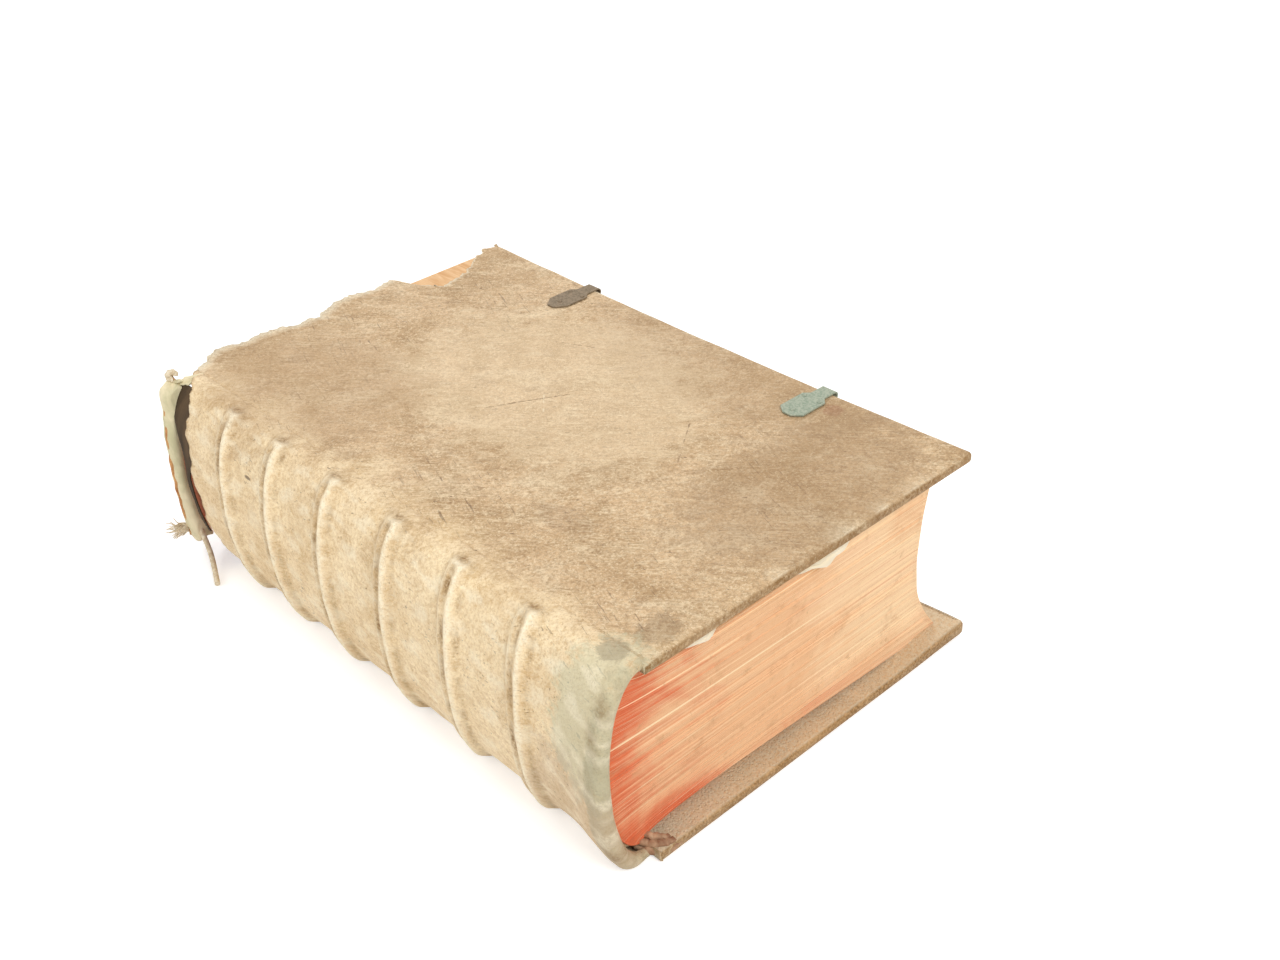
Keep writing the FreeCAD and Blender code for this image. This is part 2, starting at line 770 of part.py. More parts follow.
def main():
    os.makedirs("parts", exist_ok=True)
    for group in (lower_cover(), text_body(), upper_cover()):
        for name, shape in group.items():
            if not shape.isValid():
                print("not valid:", name)
            shape.exportStep("parts/%s.step" % name)
            print(name, round(shape.Volume / 1000, 2), "cm3", len(shape.Solids), "solids")


main()
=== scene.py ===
import json
import logging
import math
from dataclasses import dataclass, field
from enum import Enum
from typing import Callable, Optional, Sequence, Union

import bmesh
import bpy
import numpy as np
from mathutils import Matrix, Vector


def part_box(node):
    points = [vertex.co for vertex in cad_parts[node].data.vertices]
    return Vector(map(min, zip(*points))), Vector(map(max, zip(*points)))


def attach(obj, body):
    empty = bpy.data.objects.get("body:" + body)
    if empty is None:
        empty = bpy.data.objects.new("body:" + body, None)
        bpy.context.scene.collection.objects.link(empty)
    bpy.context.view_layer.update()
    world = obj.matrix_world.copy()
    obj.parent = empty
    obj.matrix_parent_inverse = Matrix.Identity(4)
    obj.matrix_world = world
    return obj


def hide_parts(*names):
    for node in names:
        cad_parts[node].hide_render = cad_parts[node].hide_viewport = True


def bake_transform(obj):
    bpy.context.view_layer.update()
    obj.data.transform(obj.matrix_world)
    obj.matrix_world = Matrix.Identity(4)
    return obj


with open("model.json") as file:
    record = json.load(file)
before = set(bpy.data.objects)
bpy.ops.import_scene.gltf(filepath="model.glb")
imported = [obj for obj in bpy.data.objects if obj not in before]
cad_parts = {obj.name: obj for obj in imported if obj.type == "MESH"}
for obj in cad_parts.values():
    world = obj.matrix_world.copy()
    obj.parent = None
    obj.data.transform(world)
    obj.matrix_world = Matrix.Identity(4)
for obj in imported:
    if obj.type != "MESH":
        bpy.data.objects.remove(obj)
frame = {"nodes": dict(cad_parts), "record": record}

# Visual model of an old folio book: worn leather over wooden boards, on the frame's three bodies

logging.basicConfig(level=logging.INFO, format="%(message)s")
LOG = logging.getLogger("book")

# Lengths are worked out in millimetres, and go into meshes and sockets in metres
MM = 0.001
# Points nearer than this, in metres, are merged, and edges shorter than a sliver are dissolved
MERGE = 2e-6
SLIVER = 1e-7
# A direction that no tube here runs along
OFF_AXIS = (0.31, 0.22, 0.93)
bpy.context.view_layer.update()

# Camera of the photograph, in millimetres and degrees
CAMERA_PLACE = (-516.05, -649.81, 620.53)
CAMERA_TURN = (56.890, 2.520, -43.416)
CAMERA_LENS = 42.19
CAMERA_SENSOR = 36.0

Socket = bpy.types.NodeSocket
Feed = Union[Socket, float, Sequence[float]]


class Body(str, Enum):
    """The rigid bodies that the pieces ride on."""

    LOWER = "lower_cover"
    TEXT = "text_block"
    UPPER = "upper_cover"


def colour(code: str) -> tuple[float, float, float, float]:
    """A colour as it looks on screen, turned into the linear values that a shader takes.

    Args:
        code: six hexadecimal digits, such as "c0a070".

    Returns:
        Linear red, green, blue and an alpha of 1.
    """
    parts = [int(code[i:i + 2], 16) / 255.0 for i in (0, 2, 4)]
    linear = [c / 12.92 if c <= 0.04045 else ((c + 0.055) / 1.055) ** 2.4 for c in parts]
    return linear[0], linear[1], linear[2], 1.0


def smooth(t: np.ndarray) -> np.ndarray:
    """A step from 0 to 1 with level ends: 3t squared less 2t cubed, held to the range."""
    t = np.clip(t, 0.0, 1.0)
    return t * t * (3.0 - 2.0 * t)


def bell(t: np.ndarray, middle: float, reach: float) -> np.ndarray:
    """A soft hump of height 1: e to the power of minus the square of distance over reach."""
    return np.exp(-(((t - middle) / reach) ** 2))


def ripple(u: np.ndarray, v: np.ndarray, size: float, seed: int) -> np.ndarray:
    """A soft uneven field: a sum of nine sine waves of random direction and phase.

    Args:
        u: first coordinate, in millimetres.
        v: second coordinate, in millimetres.
        size: length of the middle wave, in millimetres.
        seed: chooses the waves.

    Returns:
        Values of about -1 to 1, of the same shape as u and v.
    """
    random = np.random.default_rng(seed)
    total = np.zeros(np.broadcast(u, v).shape)
    for _ in range(9):
        turn = random.uniform(0.0, math.tau)
        wave = size * random.uniform(0.55, 1.9)
        phase = random.uniform(0.0, math.tau)
        across = np.cos(turn) * u + np.sin(turn) * v
        total = total + np.sin(math.tau * across / wave + phase) * (wave / size)
    return total / 5.0


def grid_quads(rows: int, columns: int, closed: bool = False) -> np.ndarray:
    """Quads of a grid whose points are stored row by row.

    Args:
        rows: number of rows of points.
        columns: number of points in a row.
        closed: joins the last column to the first.

    Returns:
        Point numbers of each quad, four to a line.
    """
    across = columns if closed else columns - 1
    i, j = np.meshgrid(np.arange(rows - 1), np.arange(across), indexing="ij")
    following = (j + 1) % columns
    quads = np.stack([
        i * columns + j, i * columns + following,
        (i + 1) * columns + following, (i + 1) * columns + j,
    ], axis=-1)
    return quads.reshape(-1, 4)


def make_mesh(name: str, points: np.ndarray, quads: np.ndarray,
              values: Optional[dict[str, np.ndarray]] = None) -> bpy.types.Object:
    """A mesh object from arrays of points and quads, its doubles merged and its faces outward.

    Args:
        name: name of the piece.
        points: x, y, z of each point, in millimetres.
        quads: point numbers of each face.
        values: named numbers for each point, kept as attributes.

    Returns:
        The new object, at the origin.
    """
    mesh = bpy.data.meshes.new(name)
    mesh.from_pydata((points.reshape(-1, 3) * MM).tolist(), [], quads.tolist())
    for key, numbers in (values or {}).items():
        layer = mesh.attributes.new(key, "FLOAT", "POINT")
        layer.data.foreach_set("value", numbers.reshape(-1).astype(np.float32))
    thing = bpy.data.objects.new(name, mesh)
    bpy.context.scene.collection.objects.link(thing)
    work = bmesh.new()
    work.from_mesh(mesh)
    bmesh.ops.remove_doubles(work, verts=work.verts, dist=MERGE)
    bmesh.ops.dissolve_degenerate(work, edges=work.edges, dist=SLIVER)
    work.to_mesh(mesh)
    work.free()
    mesh.shade_smooth()
    return thing


def face_outward(thing: bpy.types.Object) -> None:
    """Turns all faces of a closed piece outward.

    Args:
        thing: the piece, its doubles merged.
    """
    work = bmesh.new()
    work.from_mesh(thing.data)
    bmesh.ops.recalc_face_normals(work, faces=work.faces)
    work.to_mesh(thing.data)
    work.free()


def thicken(thing: bpy.types.Object, thick: float) -> None:
    """Gives a skin its thickness inward, with closed rims.

    Args:
        thing: the skin.
        thick: thickness, in millimetres.
    """
    wall = thing.modifiers.new("wall", "SOLIDIFY")
    wall.thickness = thick * MM
    wall.offset = -1.0
    wall.use_even_offset = False


def tube(name: str, path: np.ndarray, radii: np.ndarray, sides: int = 12) -> bpy.types.Object:
    """A closed tube: circles across a path, carried along it, with a pole at each end.

    Args:
        name: name of the piece.
        path: points along the middle, in millimetres.
        radii: radius at each of the path's points, in millimetres.
        sides: points round each circle.

    Returns:
        The new object.
    """
    along = np.gradient(path, axis=0)
    along /= np.linalg.norm(along, axis=1, keepdims=True)
    aside = np.cross(along, np.array(OFF_AXIS))
    aside /= np.linalg.norm(aside, axis=1, keepdims=True)
    up = np.cross(along, aside)
    turn = np.linspace(0.0, math.tau, sides, endpoint=False)
    reach = radii[:, None, None]
    ring = np.cos(turn)[None, :, None] * aside[:, None, :] + np.sin(turn)[None, :, None] * up[:, None, :]
    body = path[:, None, :] + reach * ring
    ends = [np.repeat(path[k][None, None, :], sides, axis=1) for k in (0, -1)]
    points = np.concatenate([ends[0], body, ends[1]], axis=0)
    thing = make_mesh(name, points, grid_quads(len(points), sides, closed=True))
    face_outward(thing)
    return thing


def place(thing: bpy.types.Object, body: Body, finish: bpy.types.Material, slot: str,
          *nodes: str) -> bpy.types.Object:
    """Dresses a piece, seats it on its body and hides the nodes it stands for.

    Args:
        thing: the piece.
        body: the body that it rides on.
        finish: its material.
        slot: not used.
        *nodes: the frame's nodes that it takes the place of.

    Returns:
        The same piece.
    """
    thing.data.materials.append(finish)
    if nodes:
        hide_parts(*nodes)
    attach(thing, body.value)
    LOG.info("%s rides on %s", thing.name, body.value)
    return thing


class Effect(Enum):
    """The shader node groups, each built once and placed in the materials with their own values."""

    MOTTLE = "mottled_leather"
    GRAIN = "leather_grain"
    PATCH = "patch"
    SCRATCH = "scratch"


GROUPS: dict[Effect, bpy.types.NodeTree] = {}


class Shader:
    """Short calls for making the nodes of one material or one node group."""

    def __init__(self, tree: bpy.types.NodeTree) -> None:
        """Keeps the tree that the nodes go into."""
        self.tree = tree

    def node(self, kind: str, values: Optional[dict[Union[str, int], Feed]] = None,
             **settings: object) -> bpy.types.Node:
        """Adds a node.

        Args:
            kind: type of the node.
            values: socket name or number to a value, or to an output that is linked to it.
            **settings: properties of the node itself.

        Returns:
            The node.
        """
        new = self.tree.nodes.new(kind)
        for key, setting in settings.items():
            setattr(new, key, setting)
        for key, value in (values or {}).items():
            if isinstance(value, Socket):
                self.link(value, new.inputs[key])
            else:
                new.inputs[key].default_value = value
        return new

    def link(self, output: Socket, socket: Socket) -> None:
        """Links an output to an input."""
        self.tree.links.new(output, socket)

    def effect(self, kind: Effect, values: dict[str, Feed]) -> bpy.types.Node:
        """Places a shared node group in the tree, with this material's own values."""
        return self.node("ShaderNodeGroup", values, node_tree=GROUPS[kind])

    def attribute(self, name: str) -> Socket:
        """The numbers that the piece's mesh holds under a name."""
        return self.node("ShaderNodeAttribute", attribute_name=name).outputs["Fac"]

    def noise(self, where: Socket, waves: float, detail: float = 4.0, rough: float = 0.55,
              bend: float = 0.0) -> Socket:
        """Noise value between 0 and 1 at a place, with so many waves to a metre."""
        return self.node("ShaderNodeTexNoise", {
            "Vector": where, "Scale": waves, "Detail": detail, "Roughness": rough, "Distortion": bend,
        }).outputs["Fac"]

    def span(self, value: Feed, low: float, high: float, out_low: float = 0.0,
             out_high: float = 1.0) -> Socket:
        """Value carried from one range to another, and held to it."""
        return self.node("ShaderNodeMapRange", {
            "Value": value, "From Min": low, "From Max": high, "To Min": out_low, "To Max": out_high,
        }, interpolation_type="SMOOTHSTEP").outputs["Result"]

    def maths(self, operation: str, first: Feed, second: Feed = 0.0) -> Socket:
        """One sum of two values."""
        return self.node("ShaderNodeMath", {0: first, 1: second}, operation=operation).outputs[0]

    def times(self, first: Feed, second: Feed) -> Socket:
        """One value multiplied by another."""
        return self.maths("MULTIPLY", first, second)

    def vector(self, operation: str, values: dict[Union[str, int], Feed]) -> Socket:
        """One sum of vectors, of which a length or a dot product comes out as a value."""
        made = self.node("ShaderNodeVectorMath", values, operation=operation)
        return made.outputs["Value" if operation in ("LENGTH", "DOT_PRODUCT") else "Vector"]

    def blend(self, share: Feed, first: Feed, second: Feed) -> Socket:
        """Second colour laid over the first by a share."""
        return self.node("ShaderNodeMix", {0: share, 6: first, 7: second}, data_type="RGBA").outputs[2]

    def stretched(self, where: Socket, scale: Sequence[float],
                  turn: Sequence[float] = (0.0, 0.0, 0.0)) -> Socket:
        """Place turned and then scaled, for patterns that run one way."""
        turned = self.node("ShaderNodeMapping", {"Vector": where, "Rotation": tuple(turn)})
        return self.node("ShaderNodeMapping", {
            "Vector": turned.outputs["Vector"], "Scale": tuple(scale),
        }).outputs["Vector"]


def group(name: str, inputs: dict[str, tuple[str, object]], outputs: dict[str, str],
          fill: Callable[[Shader, bpy.types.Node, bpy.types.Node], None]) -> bpy.types.NodeTree:
    """A shader node group with named inputs and outputs.

    Args:
        name: name of the group.
        inputs: name to the socket's type and default.
        outputs: name to the socket's type.
        fill: makes the nodes between the group's own input and output node.

    Returns:
        The group's tree.
    """
    tree = bpy.data.node_groups.new(name, "ShaderNodeTree")
    for key, (kind, default) in inputs.items():
        socket = tree.interface.new_socket(key, in_out="INPUT", socket_type=kind)
        if default is not None:
            socket.default_value = default
    for key, kind in outputs.items():
        tree.interface.new_socket(key, in_out="OUTPUT", socket_type=kind)
    entry = tree.nodes.new("NodeGroupInput")
    leave = tree.nodes.new("NodeGroupOutput")
    fill(Shader(tree), entry, leave)
    return tree


# Turns that lay the cover's wear, and its fine upright lines, along an axis of their noise
RUN = (0.0, 0.0, math.radians(50.0))
LINES = (0.0, 0.0, 0.35)
FLOAT = "NodeSocketFloat"
COLOUR = "NodeSocketColor"
VECTOR = "NodeSocketVector"


@dataclass(frozen=True)
class Layer:
    """A layer of the leather's colour, which shows where its noise passes from low to high.

    The tint names an input of the group. The strength is a number, or names an input too. A squeeze
    under 1 draws the noise out along the cover's wear.
    """

    tint: str
    waves: float
    low: float
    high: float
    strength: Union[float, str]
    squeeze: float = 1.0
    detail: float = 9.0
    rough: float = 0.80
    bend: float = 0.8


# Clouds, pale places, blots, bare places, fine dirt and worn grain, from the lowest layer up
MOTTLE_LAYERS = (
    Layer("Dark", 15.0, 0.38, 0.66, "Mottle", rough=0.70, bend=0.6),
    Layer("Pale", 30.0, 0.48, 0.68, "Rubbing", squeeze=0.60, rough=0.72),
    Layer("Dark", 90.0, 0.50, 0.62, 0.55, squeeze=0.45),
    Layer("Pale", 125.0, 0.52, 0.62, 0.50, squeeze=0.45),
    Layer("Dark", 420.0, 0.42, 0.62, 0.60, detail=7.0, bend=0.3),
    Layer("Pale", 640.0, 0.50, 0.64, 0.68, detail=5.0, bend=0.0),
)


def mottle_group() -> bpy.types.NodeTree:
    """Old leather's colour: layers of mottling over a base, then streaks, fine lines and flecks.

    Returns:
        The group's tree.
    """
    def fill(s: Shader, entry: bpy.types.Node, leave: bpy.types.Node) -> None:
        """Lays each mask's tint over the colour below it.

        Args:
            s: helper of the group.
            entry: node that holds the group's inputs.
            leave: node that takes its outputs.
        """
        at = entry.outputs["Place"]
        tint = entry.outputs["Base"]
        masks = []
        for layer in MOTTLE_LAYERS:
            where = s.stretched(at, (layer.squeeze, 1.0, 1.0), RUN) if layer.squeeze < 1.0 else at
            noise = s.noise(where, layer.waves, layer.detail, layer.rough, layer.bend)
            masks.append(s.span(noise, layer.low, layer.high))
            named = isinstance(layer.strength, str)
            strength = entry.outputs[layer.strength] if named else layer.strength
            tint = s.blend(s.times(masks[-1], strength), tint, entry.outputs[layer.tint])
        streak = s.noise(s.stretched(at, (0.09, 1.0, 1.0), RUN), 760.0, 5.0, 0.72)
        streaky = s.span(s.noise(at, 17.0, 6.0, 0.65), 0.42, 0.62, 0.10, 1.0)
        for tone, low, high, strength in (("Pale", 0.54, 0.66, 0.72), ("Dark", 0.46, 0.34, 0.66)):
            share = s.times(s.span(streak, low, high), streaky)
            tint = s.blend(s.times(share, strength), tint, entry.outputs[tone])
        line = s.span(s.noise(s.stretched(at, (1.0, 0.07, 1.0), LINES), 620.0, 3.0, 0.6), 0.63, 0.68)
        lined = s.span(s.noise(at, 9.0, 4.0), 0.46, 0.6)
        tint = s.blend(s.times(s.times(line, lined), 0.55), tint, entry.outputs["Fleck"])
        fleck = s.span(s.noise(s.stretched(at, (0.30, 1.0, 1.0), RUN), 420.0, 4.0, 0.7), 0.64, 0.70)
        flecked = s.span(s.noise(at, 24.0, 4.0), 0.40, 0.56)
        fleck = s.times(s.times(fleck, flecked), entry.outputs["Flecks"])
        tint = s.blend(fleck, tint, entry.outputs["Fleck"])
        s.link(tint, leave.inputs["Color"])
        s.link(masks[0], leave.inputs["Clouds"])

    return group(Effect.MOTTLE.value, {
        "Place": (VECTOR, None), "Base": (COLOUR, colour("d9bd97")), "Dark": (COLOUR, colour("a98a66")),
        "Pale": (COLOUR, colour("ecd6b2")), "Fleck": (COLOUR, colour("6a4d33")),
        "Mottle": (FLOAT, 0.6), "Rubbing": (FLOAT, 0.6), "Flecks": (FLOAT, 0.7),
    }, {"Color": COLOUR, "Clouds": FLOAT}, fill)


def grain_group() -> bpy.types.NodeTree:
    """Height of worn leather: pores, fine creases and slow unevenness.

    Returns:
        The group's tree.
    """
    def fill(s: Shader, entry: bpy.types.Node, leave: bpy.types.Node) -> None:
        """Adds three scales of relief.

        Args:
            s: helper of the group.
            entry: node that holds the group's inputs.
            leave: node that takes its outputs.
        """
        at = entry.outputs["Place"]
        cells = s.node("ShaderNodeTexVoronoi", {"Vector": at, "Scale": 620.0}, feature="F1")
        pores = s.times(s.span(cells.outputs["Distance"], 0.0, 0.55), entry.outputs["Pores"])
        crease = s.noise(s.stretched(at, (0.25, 1.0, 1.0), RUN), 620.0, 6.0, 0.75, 0.4)
        slow = s.noise(at, 55.0, 3.0, 0.5)
        height = s.maths("ADD", pores, s.times(crease, 0.9))
        height = s.maths("ADD", height, s.times(slow, 1.6))
        s.link(height, leave.inputs["Height"])

    return group(Effect.GRAIN.value, {"Place": (VECTOR, None), "Pores": (FLOAT, 0.5)},
                 {"Height": FLOAT}, fill)


def patch_group() -> bpy.types.NodeTree:
    """A soft-edged uneven patch: 1 within a radius of a centre, ragged by noise.

    Returns:
        The group's tree.
    """
    def fill(s: Shader, entry: bpy.types.Node, leave: bpy.types.Node) -> None:
        """Measures the stretched distance to the centre and roughens it.

        Args:
            s: helper of the group.
            entry: node that holds the group's inputs.
            leave: node that takes its outputs.
        """
        at = entry.outputs["Place"]
        away = s.vector("SUBTRACT", {0: at, 1: entry.outputs["Centre"]})
        away = s.vector("MULTIPLY", {0: away, 1: entry.outputs["Shape"]})
        far = s.maths("DIVIDE", s.vector("LENGTH", {0: away}), entry.outputs["Radius"])
        rough = s.maths("SUBTRACT", s.noise(at, 75.0, 9.0, 0.78, 0.6), 0.5)
        far = s.maths("ADD", far, s.times(rough, entry.outputs["Ragged"]))
        s.link(s.span(far, 1.12, 0.78), leave.inputs["Mask"])

    return group(Effect.PATCH.value, {
        "Place": (VECTOR, None), "Centre": (VECTOR, (0.0, 0.0, 0.0)), "Shape": (VECTOR, (1.0, 1.0, 1.0)),
        "Radius": (FLOAT, 0.02), "Ragged": (FLOAT, 1.2),
    }, {"Mask": FLOAT}, fill)


def scratch_group() -> bpy.types.NodeTree:
    """A thin ragged line between two places: 1 on the line, 0 at its width from it.

    Returns:
        The group's tree.
    """
    def fill(s: Shader, entry: bpy.types.Node, leave: bpy.types.Node) -> None:
        """Measures the distance to the nearest point of the line.

        Args:
            s: helper of the group.
            entry: node that holds the group's inputs.
            leave: node that takes its outputs.
        """
        at = entry.outputs["Place"]
        away = s.vector("SUBTRACT", {0: at, 1: entry.outputs["Start"]})
        share = s.vector("DOT_PRODUCT", {0: away, 1: entry.outputs["Along"]})
        share = s.node("ShaderNodeClamp", {0: share}).outputs[0]
        near = s.vector("SCALE", {0: entry.outputs["Run"], "Scale": share})
        far = s.vector("LENGTH", {0: s.vector("SUBTRACT", {0: away, 1: near})})
        rough = s.span(s.noise(at, 260.0, 3.0, 0.6), 0.35, 0.65, 0.5, 1.5)
        wide = s.maths("ADD", s.times(entry.outputs["Width"], rough), 1e-5)
        s.link(s.span(s.maths("DIVIDE", far, wide), 1.0, 0.3), leave.inputs["Mask"])

    return group(Effect.SCRATCH.value, {
        "Place": (VECTOR, None), "Start": (VECTOR, (0.0, 0.0, 0.0)), "Run": (VECTOR, (0.01, 0.0, 0.0)),
        "Along": (VECTOR, (100.0, 0.0, 0.0)), "Width": (FLOAT, 0.0005),
    }, {"Mask": FLOAT}, fill)


@dataclass(frozen=True)
class Patch:
    """A stained or worn patch: its centre and reach in millimetres, its colour and its shape.

    A shape number above 1 narrows the patch along that axis, and one below 1 widens it.
    """

    centre: tuple[float, float, float]
    radius: float
    tint: str
    strength: float = 0.6
    shape: tuple[float, float, float] = (1.0, 1.0, 1.0)
    ragged: float = 1.2

    def lay(self, s: Shader, at: Socket, tint: Socket) -> Socket:
        """Lays the patch over a colour.

        Args:
            s: helper of the material.
            at: coordinates output.
            tint: colour output below.

        Returns:
            The new colour output.
        """
        mask = s.effect(Effect.PATCH, {
            "Place": at, "Centre": tuple(c * MM for c in self.centre), "Shape": self.shape,
            "Radius": self.radius * MM, "Ragged": self.ragged,
        })
        return s.blend(s.times(mask.outputs["Mask"], self.strength), tint, colour(self.tint))


@dataclass(frozen=True)
class Scratch:
    """A thin scratch on the upper cover, from one place to another, in millimetres."""

    start: tuple[float, float, float]
    end: tuple[float, float, float]
    width: float = 0.7
    tint: str = "7c5c3c"
    strength: float = 0.7

    def lay(self, s: Shader, at: Socket, tint: Socket) -> Socket:
        """Lays the scratch over a colour.

        Args:
            s: helper of the material.
            at: coordinates output.
            tint: colour output below.

        Returns:
            The new colour output.
        """
        run = np.array(self.end) - np.array(self.start)
        mask = s.effect(Effect.SCRATCH, {
            "Place": at, "Start": tuple(c * MM for c in self.start), "Run": tuple(run * MM),
            "Along": tuple(run / (run @ run) / MM), "Width": self.width * MM,
        })
        return s.blend(s.times(mask.outputs["Mask"], self.strength), tint, colour(self.tint))


def begin(name: str) -> tuple[bpy.types.Material, Shader, bpy.types.Node, bpy.types.NodeSocket]:
    """A new material with its shader node and the piece's own coordinates.

    Args:
        name: name of the material.

    Returns:
        The material, the call helper, the Principled shader and the Object coordinates.
    """
    material = bpy.data.materials.new(name)
    material.use_nodes = True
    material.node_tree.nodes.clear()
    s = Shader(material.node_tree)
    shader = s.node("ShaderNodeBsdfPrincipled")
    out = s.node("ShaderNodeOutputMaterial")
    s.link(shader.outputs[0], out.inputs["Surface"])
    at = s.node("ShaderNodeTexCoord").outputs["Object"]
    return material, s, shader, at


def add_bump(s: Shader, shader: bpy.types.Node, height: Socket, depth: float) -> None:
    """Gives a shader its relief.

    Args:
        s: helper of the material.
        shader: the shader node.
        height: output of about 0 to 1.
        depth: what a height of 1 stands for, in millimetres.
    """
    bump = s.node("ShaderNodeBump", {"Strength": 1.0, "Distance": depth * MM, "Height": height})
    s.link(bump.outputs["Normal"], shader.inputs["Normal"])


@dataclass(frozen=True)
class LeatherFinish:
    """Worn covering leather with mottling, flecks, pores and its own patches.

    The back has its own two colours up to back_ends, and the cover's hold from cover_starts, both
    places along X in millimetres.
    """

    name: str
    base: str
    dark: str
    pale: str
    fleck: str
    back: str
    back_dark: str
    grime_and_shade: str
    rubbed_and_lit: str
    mottle: float
    rubbing: float
    flecks: float
    pores: float
    relief: float
    patches: tuple[Patch, ...] = ()
    scratches: tuple[Scratch, ...] = ()
    back_ends: float = -160.0
    cover_starts: float = -108.0
    drift: float = 16.0

    def make(self) -> bpy.types.Material:
        """Builds the material: cover and back differ by place; grime with painted shade, and rubbing with
        painted light, come by attribute.

        Returns:
            The material.
        """
        material, s, shader, at = begin(self.name)
        x = s.node("ShaderNodeSeparateXYZ", {"Vector": at}).outputs["X"]
        drift = s.span(s.noise(at, 22.0, 5.0, 0.65), 0.3, 0.7, -self.drift * MM, self.drift * MM)
        flat = s.span(s.maths("ADD", x, drift), self.back_ends * MM, self.cover_starts * MM)
        skin = s.effect(Effect.MOTTLE, {
            "Place": at,
            "Base": s.blend(flat, colour(self.back), colour(self.base)),
            "Dark": s.blend(flat, colour(self.back_dark), colour(self.dark)),
            "Pale": colour(self.pale), "Fleck": colour(self.fleck),
            "Mottle": self.mottle, "Rubbing": self.rubbing, "Flecks": self.flecks,
        })
        tint = skin.outputs["Color"]
        for mark in self.patches + self.scratches:
            tint = mark.lay(s, at, tint)
        broken = s.span(s.noise(at, 520.0, 6.0, 0.75), 0.36, 0.60, 0.30, 1.0)
        # Grime laid together with painted shade, and rubbing together with painted light, where the mesh's
        # attributes ask for them
        tint = s.blend(s.times(s.attribute("dirt_and_shade"), broken), tint, colour(self.grime_and_shade))
        tint = s.blend(s.times(s.attribute("rub_and_light"), broken), tint, colour(self.rubbed_and_lit))
        s.link(tint, shader.inputs["Base Color"])
        grain = s.effect(Effect.GRAIN, {"Place": at, "Pores": self.pores})
        add_bump(s, shader, grain.outputs["Height"], self.relief)
        s.link(s.span(skin.outputs["Clouds"], 0.0, 1.0, 0.52, 0.70), shader.inputs["Roughness"])
        shader.inputs["Specular IOR Level"].default_value = 0.35
        return material


@dataclass(frozen=True)
class PagesFinish:
    """Cut edges of coloured leaves: fine lines along the leaves, redder at the back and foot, and darkened
    by painted shade at the back.
    """

    name: str = "page_edges"
    base: str = "eab98c"
    red: str = "d96c45"
    pale: str = "fde3b8"
    deep: str = "c0643c"
    smudge: str = "b9825a"
    dust: str = "b98a60"
    back_shade: str = "7a3d24"

    def make(self) -> bpy.types.Material:
        """Builds the material from two attributes: leaf runs upward, and inward from the back.

        Returns:
            The material.
        """
        material, s, shader, at = begin(self.name)
        leaf = s.attribute("leaf")
        inward = s.attribute("inward")
        where = s.node("ShaderNodeCombineXYZ", {0: inward, 1: 0.0, 2: leaf}).outputs[0]
        fine = s.noise(s.stretched(where, (1.6, 1.0, 260.0)), 1.0, 4.0, 0.65)
        broad = s.noise(s.stretched(where, (1.0, 1.0, 34.0)), 1.0, 4.0, 0.65)
        lone = s.noise(s.stretched(where, (0.7, 1.0, 95.0)), 1.0, 1.0, 0.5)
        clouds = s.noise(at, 11.0, 6.0, 0.65, 0.6)
        back = s.times(s.span(inward, 0.0, 0.55, 1.0, 0.0), 0.86)
        foot = s.times(s.span(leaf, 0.0, 0.22, 1.0, 0.0), 0.34)
        red = s.maths("ADD", back, foot)
        red = s.maths("ADD", red, s.span(clouds, 0.32, 0.72, -0.30, 0.38))
        red = s.maths("ADD", red, s.span(broad, 0.3, 0.7, -0.18, 0.18))
        far = s.maths("ADD", inward, s.span(clouds, 0.3, 0.7, -0.25, 0.25))
        tint = colour(self.base)
        for mask, paint in (
            (s.span(red, 0.0, 1.0), self.red),
            (s.span(far, 0.55, 1.0, 0.0, 0.55), self.pale),
            (s.span(fine, 0.52, 0.68, 0.0, 0.65), self.pale),
            (s.span(fine, 0.48, 0.30, 0.0, 0.60), self.deep),
            (s.span(lone, 0.64, 0.70, 0.0, 0.85), self.pale),
            (s.span(s.noise(at, 34.0, 8.0, 0.75), 0.54, 0.72, 0.0, 0.42), self.smudge),
            (s.span(s.noise(at, 120.0, 8.0, 0.78), 0.56, 0.70, 0.0, 0.45), self.dust),
            # Painted shade: the block's back, seen only in the gap under the torn head, darkened to
            # red-brown
            (s.span(inward, 0.012, 0.0, 0.0, 0.8), self.back_shade),
        ):
            tint = s.blend(mask, tint, colour(paint))
        s.link(tint, shader.inputs["Base Color"])
        shader.inputs["Roughness"].default_value = 0.85
        shader.inputs["Specular IOR Level"].default_value = 0.2
        add_bump(s, shader, s.maths("ADD", fine, s.times(broad, 1.5)), 0.35)
        return material


@dataclass(frozen=True)
class PlainFinish:
    """A matt surface of two colours mixed by stretched noise: wood, paper, thread or raw leather."""

    name: str
    base: str
    second: str
    scale: float
    stretch: tuple[float, float, float]
    rough: float
    relief: float

    def make(self) -> bpy.types.Material:
        """Builds the material: seven parts of streaks and three of clouds mix the two colours.

        Returns:
            The material.
        """
        material, s, shader, at = begin(self.name)
        streak = s.noise(s.stretched(at, self.stretch), self.scale, 6.0, 0.62, 0.5)
        clouds = s.noise(at, 25.0, 4.0)
        both = s.maths("ADD", s.times(streak, 0.7), s.times(clouds, 0.3))
        tint = s.blend(s.span(both, 0.36, 0.64), colour(self.base), colour(self.second))
        s.link(tint, shader.inputs["Base Color"])
        shader.inputs["Roughness"].default_value = self.rough
        shader.inputs["Specular IOR Level"].default_value = 0.25
        add_bump(s, shader, streak, self.relief)
        return material


